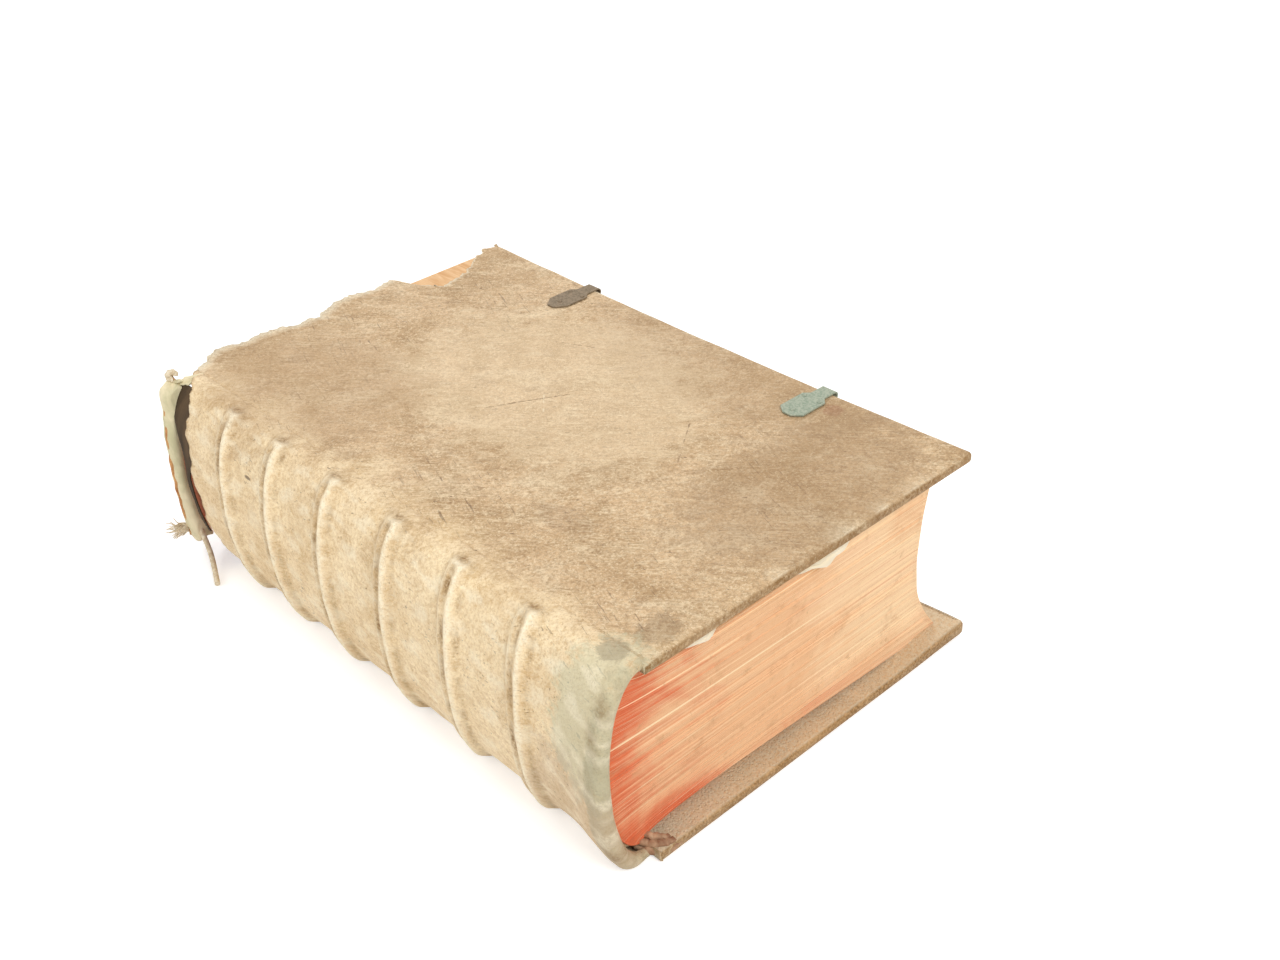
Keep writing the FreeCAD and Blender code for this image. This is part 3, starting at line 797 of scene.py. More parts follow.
@dataclass(frozen=True)
class MetalFinish:
    """Old copper alloy under a skin of corrosion, which covers more of it as cover nears 1."""

    name: str
    metal: str
    crust: str
    crust_dark: str
    cover: float

    def make(self) -> bpy.types.Material:
        """Builds the material: bare metal shines where the corrosion's noise is low.

        Returns:
            The material.
        """
        material, s, shader, at = begin(self.name)
        wide = s.noise(at, 160.0, 6.0, 0.65, 0.4)
        crusted = s.span(wide, 0.62 - self.cover * 0.4, 0.74 - self.cover * 0.4)
        speck = s.span(s.noise(at, 700.0, 4.0, 0.6), 0.42, 0.62)
        crust = s.blend(speck, colour(self.crust), colour(self.crust_dark))
        s.link(s.blend(crusted, colour(self.metal), crust), shader.inputs["Base Color"])
        s.link(s.span(crusted, 0.0, 1.0, 0.75, 0.05), shader.inputs["Metallic"])
        s.link(s.span(crusted, 0.0, 1.0, 0.42, 0.80), shader.inputs["Roughness"])
        add_bump(s, shader, s.maths("ADD", speck, wide), 0.12)
        return material


@dataclass
class Book:
    """Main sizes of the book, read from the frame, in millimetres."""

    joint_x: float = field(init=False)
    fore_x: float = field(init=False)
    height: float = field(init=False)
    middle: float = field(init=False)
    cover: float = field(init=False)
    page_low: float = field(init=False)
    page_top: float = field(init=False)
    page_tail: float = field(init=False)
    page_head: float = field(init=False)
    lower_half: float = field(init=False)
    upper_tail: float = field(init=False)
    upper_head: float = field(init=False)
    leather: float = 1.2

    def __post_init__(self) -> None:
        """Reads the boxes of the main nodes."""
        low, high = self.span("lower_cover_leather")
        top_high = self.span("upper_cover_leather")[1]
        pages_low, pages_high = self.span("text_block")
        board_low, board_high = self.span("upper_board")
        self.joint_x = low[0]
        self.fore_x = self.span("lower_board")[1][0]
        self.height = top_high[2]
        self.middle = self.height / 2
        self.cover = high[2] - low[2]
        self.page_low, self.page_top = pages_low[2], pages_high[2]
        self.page_tail, self.page_head = pages_low[1], pages_high[1]
        self.lower_half = self.span("lower_board")[1][1]
        self.upper_tail, self.upper_head = board_low[1], board_high[1]

    @staticmethod
    def span(node: str) -> tuple[list[float], list[float]]:
        """Lowest and highest corner of a node.

        Args:
            node: name of the node.

        Returns:
            Two corners x, y, z, in millimetres.
        """
        low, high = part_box(node)
        return [v / MM for v in low], [v / MM for v in high]


@dataclass(frozen=True)
class Swell:
    """A soft hump of a height at a middle, which fades over a reach."""

    middle: float
    reach: float
    height: float

    def at(self, where: np.ndarray) -> np.ndarray:
        """Height at a place: a bell curve times the hump's height."""
        return self.height * bell(where, self.middle, self.reach)


@dataclass
class Spine:
    """Leather over the back: raised bands, rolled tail cap, torn head, and the bends at both joints.

    Turns round the back are in degrees, from -90 at the lower joint to 90 at the upper. Swells of the
    bands go by the distance from a band's middle, and those of the bands' ends by the turn.
    """

    book: Book
    bulge: float = 30.8
    fullness: float = 0.8
    gap: float = 0.3
    wall: float = 0.9
    bands: tuple[float, ...] = (152.0, 98.0, 38.0, -26.0, -88.0, -149.0)
    band_height: float = 4.6
    band_half: float = 7.6
    lean: float = 4.0
    groove: Swell = Swell(1.2, 2.3, 1.7)
    crests: tuple[Swell, ...] = (Swell(-3.4, 1.7, 0.6), Swell(5.6, 1.7, 0.5))
    hem: Swell = Swell(11.5, 2.8, 0.5)
    band_end: Swell = Swell(74.0, 6.0, 1.9)
    # Painted shade with some dirt in the bands' grooves and along their flanks
    groove_dirt_and_shade: Swell = Swell(1.4, 2.9, 0.95)
    hem_dirt_and_shadow: Swell = Swell(9.4, 1.9, 0.52)
    end_dirt: Swell = Swell(80.0, 4.0, 0.8)
    # Painted highlight with some rubbing on the bands' crests
    crest_rub_and_highlight: tuple[Swell, ...] = (Swell(-3.8, 1.7, 0.95), Swell(6.6, 1.7, 0.45))
    end_rub: Swell = Swell(74.0, 4.0, 0.9)
    tail_fold: Swell = Swell(78.0, 9.0, 1.3)
    flare: float = 5.5
    flare_length: float = 42.0
    cap_y: float = field(init=False)
    cap_radius: float = 5.2
    cap_turn: float = 200.0
    over_cover: float = 2.6
    seam: float = -78.0
    bend_before: float = 5.0
    bend_after: float = 0.6

    def __post_init__(self) -> None:
        """Places the tail cap clear of the pages."""
        self.cap_y = self.book.page_tail - 3.0

    def curve(self, turn: np.ndarray) -> tuple[np.ndarray, np.ndarray]:
        """Point x, z on the plain back: half an oval, its reach the cosine raised to the fullness.

        Args:
            turn: degrees round the back.

        Returns:
            The x and z values.
        """
        a = np.radians(turn)
        reach = np.clip(np.cos(a), 0.0, None) ** self.fullness
        return self.book.joint_x - self.gap - self.bulge * reach, self.book.middle * (1.0 + np.sin(a))

    def back_x(self, z: np.ndarray) -> np.ndarray:
        """The plain back's x at a height: the same oval, its sine worked out from the height."""
        sine = np.clip(z / self.book.middle - 1.0, -1.0, 1.0)
        return self.book.joint_x - self.gap - self.bulge * (1.0 - sine ** 2) ** (self.fullness / 2)

    def fade(self, turn: np.ndarray) -> np.ndarray:
        """Share of the bands' height that is left: they flatten over the last 30 degrees to each joint."""
        return smooth((90.0 - np.abs(turn)) / 30.0)

    def tear(self, turn: np.ndarray) -> np.ndarray:
        """The y of the torn head edge, which falls back towards the foot with a ragged line.

        Args:
            turn: degrees round the back.

        Returns:
            The edge's places: a slow fall by two steps, with three sine waves on it.
        """
        down = (90.0 - turn) / 180.0
        back = 12.0 + 19.0 * smooth(down ** 0.7) - 16.0 * smooth((turn - 66.0) / 24.0)
        ragged = 2.0 * np.sin(turn * 0.21) + 0.9 * np.sin(turn * 0.57 + 1.0) + 0.35 * np.sin(turn * 1.9)
        return self.book.page_head - back + ragged

    def from_band(self, k: int, turn: np.ndarray, y: np.ndarray) -> np.ndarray:
        """Distance along the book from the middle of a band, which leans and wavers a little.

        Args:
            k: number of the band, from the head.
            turn: degrees round the back.
            y: place along the book.

        Returns:
            The distances, above 0 towards the head.
        """
        lean = self.lean * smooth(turn / 90.0)
        return y - self.bands[k] - lean - 0.7 * np.sin(np.radians(turn) * 2.0 + k)

    def rise(self, turn: np.ndarray, y: np.ndarray) -> np.ndarray:
        """Height over the plain back: bands with two crests, their worn ends, flare, dents and folds.

        Args:
            turn: degrees round the back.
            y: place along the book.

        Returns:
            The height, in millimetres.
        """
        high = np.zeros_like(y)
        for k in range(len(self.bands)):
            d = self.from_band(k, turn, y)
            ridge = self.band_height * np.exp(-((np.abs(d + 0.8) / (self.band_half + 0.8)) ** 2.7))
            groove = self.groove.at(d) * (1.0 + 0.25 * np.sin(turn * 0.17 + k))
            crest = sum(one.at(d) for one in self.crests)
            high = high + (ridge - groove + crest - self.hem.at(np.abs(d))) * self.fade(turn)
            high = high + self.band_end.at(turn) * bell(d, 0.0, 6.0)
        share = smooth((self.cap_y + self.flare_length - y) / self.flare_length)
        high = high + self.flare * share * self.fade(turn)
        around = turn * 1.2
        dents = 0.22 * ripple(around, y, 34.0, 3) + 0.07 * ripple(around, y, 9.0, 5)
        high = high + self.fade(turn) * dents
        return high - self.tail_fold.at(turn) * bell(y, self.book.page_tail + 12.0, 7.0)

    def wear(self, turn: np.ndarray, y: np.ndarray) -> tuple[np.ndarray, np.ndarray]:
        """Grime and painted shade in the grooves and beside the bands, rubbing and painted highlight on
        their crests, and rubbing on the bands' ends.

        Args:
            turn: degrees round the back.
            y: place along the book.

        Returns:
            Dirt with painted shade, and rub with painted highlight, each about 0 to 1.
        """
        dirt_and_shade = np.zeros_like(y)
        rub_and_light = np.zeros_like(y)
        fade = self.fade(turn)
        for k in range(len(self.bands)):
            d = self.from_band(k, turn, y)
            patchy = 0.65 + 0.5 * ripple(turn * 1.2, y, 16.0, 71 + k)
            # Painted shade with some dirt in each groove and along each flank
            dirt_and_shade = dirt_and_shade + self.groove_dirt_and_shade.at(d) * patchy * (0.35 + 0.65 * fade)
            dirt_and_shade = dirt_and_shade + self.hem_dirt_and_shadow.at(np.abs(d)) * patchy * fade
            dirt_and_shade = dirt_and_shade + self.end_dirt.at(turn) * bell(d, 0.0, 9.0)
            # Painted highlight with some rubbing on each crest
            rub_and_light = rub_and_light + sum(one.at(d) for one in self.crest_rub_and_highlight) * fade
            rub_and_light = rub_and_light + self.end_rub.at(turn) * bell(d, 0.0, 5.0)
        rub_and_light = rub_and_light + 0.5 * smooth(1.6 * ripple(turn * 1.2, y, 15.0, 81) - 0.2) * fade
        rim = bell(y, self.tear(turn), 1.5)
        cap = bell(y, self.cap_y, 7.0)
        dirt_and_shade = np.clip(dirt_and_shade + 0.6 * rim + 0.45 * cap * np.abs(ripple(turn, y, 18.0, 9)), 0.0, 0.95)
        return dirt_and_shade, np.clip(rub_and_light * (1.0 - 0.6 * dirt_and_shade), 0.0, 0.9)

    def skin(self, turn: np.ndarray, y: np.ndarray, rise: np.ndarray) -> np.ndarray:
        """Points on the leather: the plain curve moved outward, square to itself, by the rise.

        Args:
            turn: degrees round the back.
            y: place along the book.
            rise: height over the plain curve.

        Returns:
            Points x, y, z, held just above the table and under the upper cover's face.
        """
        x, z = self.curve(turn)
        ax, az = self.curve(np.clip(turn - 0.05, -90.0, 90.0))
        bx, bz = self.curve(np.clip(turn + 0.05, -90.0, 90.0))
        tx, tz = bx - ax, bz - az
        size = np.hypot(tx, tz) + 1e-9
        out_z = np.clip(z + rise * tx / size, 0.03, self.book.height)
        return np.stack([x - rise * tz / size, y, out_z], axis=-1)

    def cap_rows(self, turns: np.ndarray) -> np.ndarray:
        """Rows round the rolled tail cap: the arc of a circle, which thins towards both joints.

        Args:
            turns: degrees round the back, one for each column.

        Returns:
            Points, in rows from the cap's inner lip outward.
        """
        turn, phi = np.meshgrid(turns, np.radians(np.linspace(self.cap_turn, 8.0, 20)), indexing="xy")
        soft = self.fade(turn)
        radius = self.cap_radius * (0.55 + 0.45 * soft)
        rise = self.flare * soft - radius + radius * np.cos(phi)
        rise = rise + 0.2 * ripple(turn * 1.2, phi * 6.0, 20.0, 8) * soft
        return self.skin(turn, self.cap_y - radius * np.sin(phi), rise)

    def back_rows(self, turns: np.ndarray) -> np.ndarray:
        """Rows along the back, spread evenly from the tail cap to the torn head at every turn.

        Args:
            turns: degrees round the back, one for each column.

        Returns:
            Points, in rows from the tail up.
        """
        turn, along = np.meshgrid(turns, np.linspace(0.0, 1.0, 470), indexing="xy")
        y = self.cap_y + (self.tear(turn) - self.cap_y) * along
        near_cap = smooth((y - self.cap_y) / 6.0)
        rise = self.flare * self.fade(turn) * (1.0 - near_cap) + self.rise(turn, y) * near_cap
        return self.skin(turn, y, rise)

    def over_joint(self, rows: np.ndarray, upper: bool) -> np.ndarray:
        """Columns that lead straight from the joint onto the cover, dipping under its leather.

        Args:
            rows: the points round the back.
            upper: the upper joint, or else the lower.

        Returns:
            Points, in as many rows as the back's.
        """
        flat = np.linspace(0.0, 1.0, 7)[1:]
        edge = rows[:, -1:, :]
        over = np.repeat(edge, len(flat), axis=1)
        goal = self.book.joint_x + self.over_cover
        over[..., 0] = edge[..., 0] + (goal - edge[..., 0]) * flat[None, :]
        dip = 0.5 * smooth((flat[None, :] - 0.4) / 0.6)
        over[..., 2] = np.maximum(over[..., 2] - (dip if upper else -dip), 0.03)
        tail = (self.book.upper_tail if upper else -self.book.lower_half) - self.book.leather
        over[..., 1] = np.maximum(over[..., 1], tail)
        return over

    def stretch(self, name: str, upper: bool) -> bpy.types.Object:
        """A stretch of the spine leather that reaches over one joint onto its cover.

        The upper one takes in the whole back, and the lower one is a strip beside the lower joint.
        Rows run along the book: first round the rolled tail cap, then up to the torn head.
        Columns run round the back to 90 degrees and then flat over the joint onto the cover.

        Args:
            name: name of the piece.
            upper: the stretch at the upper cover, or else at the lower.

        Returns:
            The new object.
        """
        if upper:
            share = np.linspace(0.0, 1.0, 84)
            share = share - 0.06 * np.sin(math.tau * share)
            turns = self.seam + (90.0 - self.seam) * share
        else:
            turns = self.seam - (90.0 + self.seam) * np.linspace(0.0, 1.0, 14)
        rows = np.concatenate([self.cap_rows(turns), self.back_rows(turns)], axis=0)
        over = self.over_joint(rows, upper)
        points = np.concatenate([rows, over], axis=1)
        quads = grid_quads(points.shape[0], points.shape[1])
        if not upper:
            quads = quads[:, ::-1]
        all_turns = np.concatenate([turns, np.full(over.shape[1], turns[-1])])
        dirt_and_shade, rub_and_light = self.wear(np.broadcast_to(all_turns, points.shape[:2]), points[..., 1])
        thing = make_mesh(name, points, quads, {"dirt_and_shade": dirt_and_shade, "rub_and_light": rub_and_light})
        thicken(thing, self.wall)
        return thing

    def build(self, leather: bpy.types.Material) -> None:
        """Makes both stretches, each bending over its own joint.

        Args:
            leather: their finish.
        """
        stretches = (("spine_skin", True, Body.UPPER), ("spine_skin_foot", False, Body.LOWER))
        for name, upper, cover in stretches:
            thing = self.stretch(name, upper)
            thing.data.materials.append(leather)
            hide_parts("spine_leather")
            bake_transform(thing)
            LOG.info("%s bends from %s to %s", name, Body.TEXT.value, cover.value)


@dataclass
class CoverSkin:
    """Leather over one board: a flat sheet folded round the board's edges and turned in."""

    book: Book
    upper: bool
    turn_in: float = 26.0
    start_x: float = -0.2
    hollow: float = 4.0
    corner: float = 2.5
    edge_round: float = 2.3
    wall: float = 0.9
    corner_lift: float = 3.6
    joint_dip: float = 1.2
    columns: int = 460
    outer_rings: int = 74
    torn_edge: tuple[tuple[float, float], ...] = (
        (-134.7, -1.0), (-130.0, 2.0), (-120.0, 9.0), (-110.0, 17.0), (-98.0, 16.0), (-62.0, 12.0),
        (-45.0, 7.0), (-35.0, 8.0), (-30.0, 4.0), (-15.0, 15.0), (10.0, 16.0), (21.0, 12.0),
        (40.0, 15.0), (50.0, -8.0), (62.0, -23.0), (76.0, -20.0), (91.0, -16.0), (101.0, -8.0),
        (111.0, -1.0), (124.0, 5.0), (134.7, 4.0),
    )

    def outline(self) -> tuple[np.ndarray, np.ndarray]:
        """Outer edge of the leather and its outward direction, from the joint at the tail round.

        The fore-edge is a shallow hollow arc and its corners are round. The upper cover's line ends at
        its torn head, and the lower cover's goes on round to the joint.

        Returns:
            Points x, y and outward directions, two numbers each.
        """
        book = self.book
        left = book.joint_x + self.start_x
        right = book.fore_x + book.leather
        low = (book.upper_tail if self.upper else -book.lower_half) - book.leather
        high = book.upper_head + 5.0 if self.upper else book.lower_half + book.leather
        r = self.corner
        turn = np.radians(np.linspace(-90.0, 0.0, 24))
        tail = np.stack([np.linspace(left, right - r, 160), np.full(160, low)], axis=-1)
        first = np.stack([right - r + r * np.cos(turn), low + r + r * np.sin(turn)], axis=-1)
        top = high if self.upper else high - r
        fore = np.stack([np.full(220, right), np.linspace(low + r, top, 220)], axis=-1)
        parts = [tail, first[1:], fore[1:]]
        if not self.upper:
            turn = turn[::-1]
            second = np.stack([right - r + r * np.cos(turn), high - r - r * np.sin(turn)], axis=-1)
            head = np.stack([np.linspace(right - r, left, 160), np.full(160, high)], axis=-1)
            parts += [second[1:], head[1:]]
        line = np.concatenate(parts, axis=0)
        span = (line[:, 1] - low) / (high - low) * 2.0 - 1.0
        near = smooth((line[:, 0] - (right - 30.0)) / 30.0)
        line[:, 0] -= self.hollow * (1.0 - span ** 2) * near
        walked = np.concatenate([[0.0], np.cumsum(np.linalg.norm(np.diff(line, axis=0), axis=1))])
        even = np.linspace(0.0, walked[-1], self.columns)
        line = np.stack([np.interp(even, walked, line[:, k]) for k in (0, 1)], axis=-1)
        ahead = np.gradient(line, axis=0)
        ahead /= np.linalg.norm(ahead, axis=1, keepdims=True)
        return line, np.stack([ahead[:, 1], -ahead[:, 0]], axis=-1)

    def far_side(self) -> np.ndarray:
        """The line that the sheet runs to: the joint, or the torn head of the upper cover.

        Returns:
            Points x, y, one for each column. The torn head is the given line with two ripples.
        """
        book = self.book
        left = book.joint_x + self.start_x
        if not self.upper:
            low, high = -book.lower_half - book.leather, book.lower_half + book.leather
            return np.stack([np.full(self.columns, left), np.linspace(low, high, self.columns)], axis=-1)
        edge = np.array(self.torn_edge)
        x = np.linspace(left, book.fore_x + book.leather, self.columns)
        level = np.zeros_like(x)
        past = np.interp(x, edge[:, 0], edge[:, 1])
        past = past + 1.6 * ripple(x, level, 9.0, 21) + 0.9 * ripple(x, level, 3.5, 22)
        past[-6:] = np.linspace(past[-6], 5.0, 6)
        return np.stack([x, book.upper_head + past], axis=-1)

    def sheet(self) -> tuple[np.ndarray, np.ndarray]:
        """The folded sheet: rings from the turned-in rim, round the edge, to the far side.

        Returns:
            Places x, y of each ring's points, and their depth below the outer face.
        """
        book = self.book
        line, out = self.outline()
        far = self.far_side()
        anchor = np.array([book.joint_x, book.upper_head if self.upper else 0.0])
        reach_y = book.upper_head - book.upper_tail if self.upper else book.lower_half
        reach = np.array([book.fore_x - book.joint_x, reach_y])
        r, thick = self.edge_round, book.cover
        rings, depths = [], []
        for inset in np.linspace(self.turn_in, r, 10):
            rings.append(anchor + (line - anchor) * (1.0 - inset / reach))
            depths.append(thick)
        for turn in np.radians(np.linspace(0.0, 90.0, 6)):
            rings.append(line + out * (r * (math.sin(turn) - 1.0)))
            depths.append(thick - r * (1.0 - math.cos(turn)))
        for turn in np.radians(np.linspace(90.0, 0.0, 6)):
            rings.append(line + out * (r * (math.sin(turn) - 1.0)))
            depths.append(r * (1.0 - math.cos(turn)))
        edge = rings[-1]
        for share in np.linspace(0.0, 1.0, self.outer_rings + 1)[1:] ** 0.9:
            rings.append(edge + (far - edge) * share)
            depths.append(0.0)
        flat = np.stack(rings, axis=0)
        return flat, np.array(depths)[:, None] * np.ones(self.columns)

    def wear(self, flat: np.ndarray, depth: np.ndarray) -> tuple[np.ndarray, np.ndarray]:
        """Grime on the edge's side, rubbing along the edge and the torn head, and painted light that lifts
        the shaded inner face.

        Args:
            flat: places x, y of the sheet's points.
            depth: their depth below the outer face.

        Returns:
            Dirt, and rub with painted light, each about 0 to 1.
        """
        thick = self.book.cover
        side = smooth(depth / 1.5) * smooth((thick - depth) / 0.5 + 0.6)
        uneven = 0.5 + 0.5 * ripple(flat[..., 0], flat[..., 1], 26.0, 51)
        dirt_and_shade = np.clip(side * (0.65 + 0.45 * uneven), 0.0, 1.0)
        ring = np.arange(len(flat))[:, None]
        edge_ring = 20.0
        at_edge = bell(ring, edge_ring, 1.2) * smooth(uneven * 1.8 - 0.8)
        # Painted light: the turned-in inner face is made paler to offset its shade
        inner_face_light = smooth((depth - thick + 0.8) / 0.8)
        rub_and_light = 0.55 * at_edge + 0.5 * inner_face_light
        if self.upper:
            torn = smooth((ring - len(flat) + 2.6) / 1.4)
            rub_and_light = rub_and_light + torn * smooth((flat[..., 1] - self.book.upper_head + 40.0) / 8.0)
        return dirt_and_shade, np.clip(rub_and_light, 0.0, 0.95)

    def height(self, flat: np.ndarray, depth: np.ndarray) -> np.ndarray:
        """The z of the sheet's points: their depth, the outer face's relief and the dip at the joint.

        Args:
            flat: places x, y of the sheet's points.
            depth: their depth below the outer face.

        Returns:
            The z values.
        """
        book = self.book
        x, y = flat[..., 0], flat[..., 1]
        outer_face = smooth(1.0 - depth / (book.cover * 0.5))
        lift = self.relief(x, y) * outer_face
        joint_dip = self.joint_dip * (1.0 - smooth((x - book.joint_x - self.start_x) / 4.5)) * outer_face
        if self.upper:
            return book.height - depth + lift - joint_dip
        corner = smooth((x - 60.0) / 75.0) * smooth((-y - 140.0) / 85.0)
        z = depth - np.minimum(lift, 0.35) * 0.4 + 0.15
        return z + self.corner_lift * corner * smooth(depth / book.cover) + joint_dip

    def relief(self, x: np.ndarray, y: np.ndarray) -> np.ndarray:
        """Unevenness of the outer face, and the curl of what sticks out past the board.

        Args:
            x: place from the joint to the fore-edge.
            y: place along the book.

        Returns:
            Height over the plain face, in millimetres.
        """
        height = 0.28 * ripple(x, y, 70.0, 31) + 0.10 * ripple(x, y, 18.0, 32)
        fade = smooth((x - self.book.joint_x - self.start_x) / 14.0)
        height = height * fade - 0.35 * fade
        if not self.upper:
            return height - 2.0 * smooth((x - 70.0) / 65.0) * smooth((-y - 150.0) / 75.0)
        past = np.clip(y - self.book.upper_head + 2.0, 0.0, None)
        curl = past * (0.10 * ripple(x, np.zeros_like(y), 30.0, 33) - 0.06)
        return height + curl + 0.35 * smooth(past / 9.0) * ripple(x, y, 11.0, 34)

    def build(self, leather: bpy.types.Material) -> bpy.types.Object:
        """Makes the skin over the board.

        Args:
            leather: its finish.

        Returns:
            The new object.
        """
        flat, depth = self.sheet()
        dirt_and_shade, rub_and_light = self.wear(flat, depth)
        points = np.concatenate([flat, self.height(flat, depth)[..., None]], axis=-1)
        name = "upper_cover_skin" if self.upper else "lower_cover_skin"
        thing = make_mesh(name, points, grid_quads(*depth.shape), {"dirt_and_shade": dirt_and_shade, "rub_and_light": rub_and_light})
        self.orient(thing)
        thicken(thing, self.wall)
        body = Body.UPPER if self.upper else Body.LOWER
        node = "upper_cover_leather" if self.upper else "lower_cover_leather"
        return place(thing, body, leather, "cover_leather", node)

    def orient(self, thing: bpy.types.Object) -> None:
        """Turns the skin's faces away from the board, judged by one face near its outer middle.

        Args:
            thing: the skin, before it gets its thickness.
        """
        mesh = thing.data
        inner_side = 10.0
        best = min(mesh.polygons, key=lambda p: (p.center.x ** 2 + p.center.y ** 2)
                   + (inner_side if (p.center.z < 0.05) == self.upper else 0.0))
        wants = 1.0 if self.upper else -1.0
        if best.normal.z * wants < 0.0:
            mesh.flip_normals()


@dataclass
class JointTuck:
    """Leather drawn round the spine corner of a board, where the cover meets the back."""

    book: Book
    length: float = 42.0
    reach: float = 7.0
    proud: float = 0.9
    back: float = 0.6
    swell: float = 1.6
    closed_at: float = 2.5
    rows: int = 40
    end_rows: int = 6

    def build(self, leather: bpy.types.Material) -> None:
        """Makes the three tucks that survive: both at the tail and the lower one at the head.

        Args:
            leather: their finish.
        """
        for name, upper, head in (
            ("tuck_lower_tail", False, False),
            ("tuck_lower_head", False, True),
            ("tuck_upper_tail", True, False),
        ):
            self.tuck(name, upper, head, leather)

    def folds(self, leather: bpy.types.Material) -> None:
        """Three creased folds at the tail, where the cap is drawn onto the lower board's corner.

        Each is a tube along a curve with one control point, waved a little and thinned at both ends.

        Args:
            leather: their finish.
        """
        x, y = self.book.joint_x, -self.book.lower_half
        s = np.linspace(0.0, 1.0, 40)[:, None]
        for k, (start, bend, end, size) in enumerate((
            ((x - 5.0, y + 16.0, 3.4), (x + 1.0, y - 1.0, 3.8), (x + 15.0, y + 0.6, 4.6), 2.9),
            ((x - 4.0, y + 18.0, 7.0), (x + 1.0, y + 1.5, 8.0), (x + 11.0, y + 1.2, 8.6), 2.5),
            ((x - 1.5, y + 20.0, 10.6), (x + 2.0, y + 5.0, 11.4), (x + 9.0, y + 3.4, 10.4), 2.0),
        )):
            a, b, c = (np.array(point) for point in (start, bend, end))
            path = a * (1.0 - s) ** 2 + 2.0 * b * s * (1.0 - s) + c * s ** 2
            path = path + 0.35 * np.sin(s * np.array([19.0, 23.0, 31.0]) + k)
            share = np.clip(np.linspace(0.0, 1.0, len(path)), 0.03, 0.97)
            fold = tube("tail_fold_%d" % (k + 1), path,
                        size * (0.55 + 0.45 * np.sin(math.pi * share) ** 0.6), 18)
            place(fold, Body.LOWER, leather, "cover_leather")

    def tuck(self, name: str, upper: bool, head: bool, leather: bpy.types.Material) -> None:
        """One tuck: a U round the board's edge, carried along it and closed at the board's end.

        The end rows grow from a point to the full U by a sine, and their lip stands out by a cosine.

        Args:
            name: name of the piece.
            upper: at the upper board, or else at the lower.
            head: at the head, or else at the tail.
            leather: its finish.
        """
        book = self.book
        thick = book.cover
        turn = np.linspace(-math.pi / 2, -3 * math.pi / 2, 26)
        side = thick / 2 - 0.25
        bend_x = np.concatenate([[self.reach], self.back + self.swell * np.cos(turn), [self.reach]])
        bend_z = np.concatenate([[-side], side * np.clip(1.25 * np.sin(turn), -1.0, 1.0), [side]])
        middle = thick / 2 if not upper else book.height - thick / 2
        end = (book.lower_half if head else -book.lower_half) if not upper else book.upper_tail
        way = -1.0 if head else 1.0
        quarter = np.linspace(0.0, math.pi / 2, self.end_rows)
        along = np.concatenate([-self.proud * np.cos(quarter), np.linspace(0.0, self.length, self.rows)])
        grow = np.concatenate([np.sin(quarter), np.ones(self.rows)])[:, None]
        x = book.joint_x + grow * bend_x[None, :] + (1.0 - grow) * self.closed_at
        z = middle + grow * bend_z[None, :]
        y = np.broadcast_to(end + way * along[:, None], x.shape)
        x = x + 0.2 * ripple(y, z, 12.0, 61)
        points = np.stack([x, y, z], axis=-1)
        dirt_and_shade = np.clip(0.35 + 0.35 * ripple(y, z, 9.0, 62), 0.0, 0.8)
        thing = make_mesh(name, points, grid_quads(*x.shape), {"dirt_and_shade": dirt_and_shade, "rub_and_light": np.zeros_like(dirt_and_shade)})
        face_outward(thing)
        place(thing, Body.UPPER if upper else Body.LOWER, leather, "cover_leather")


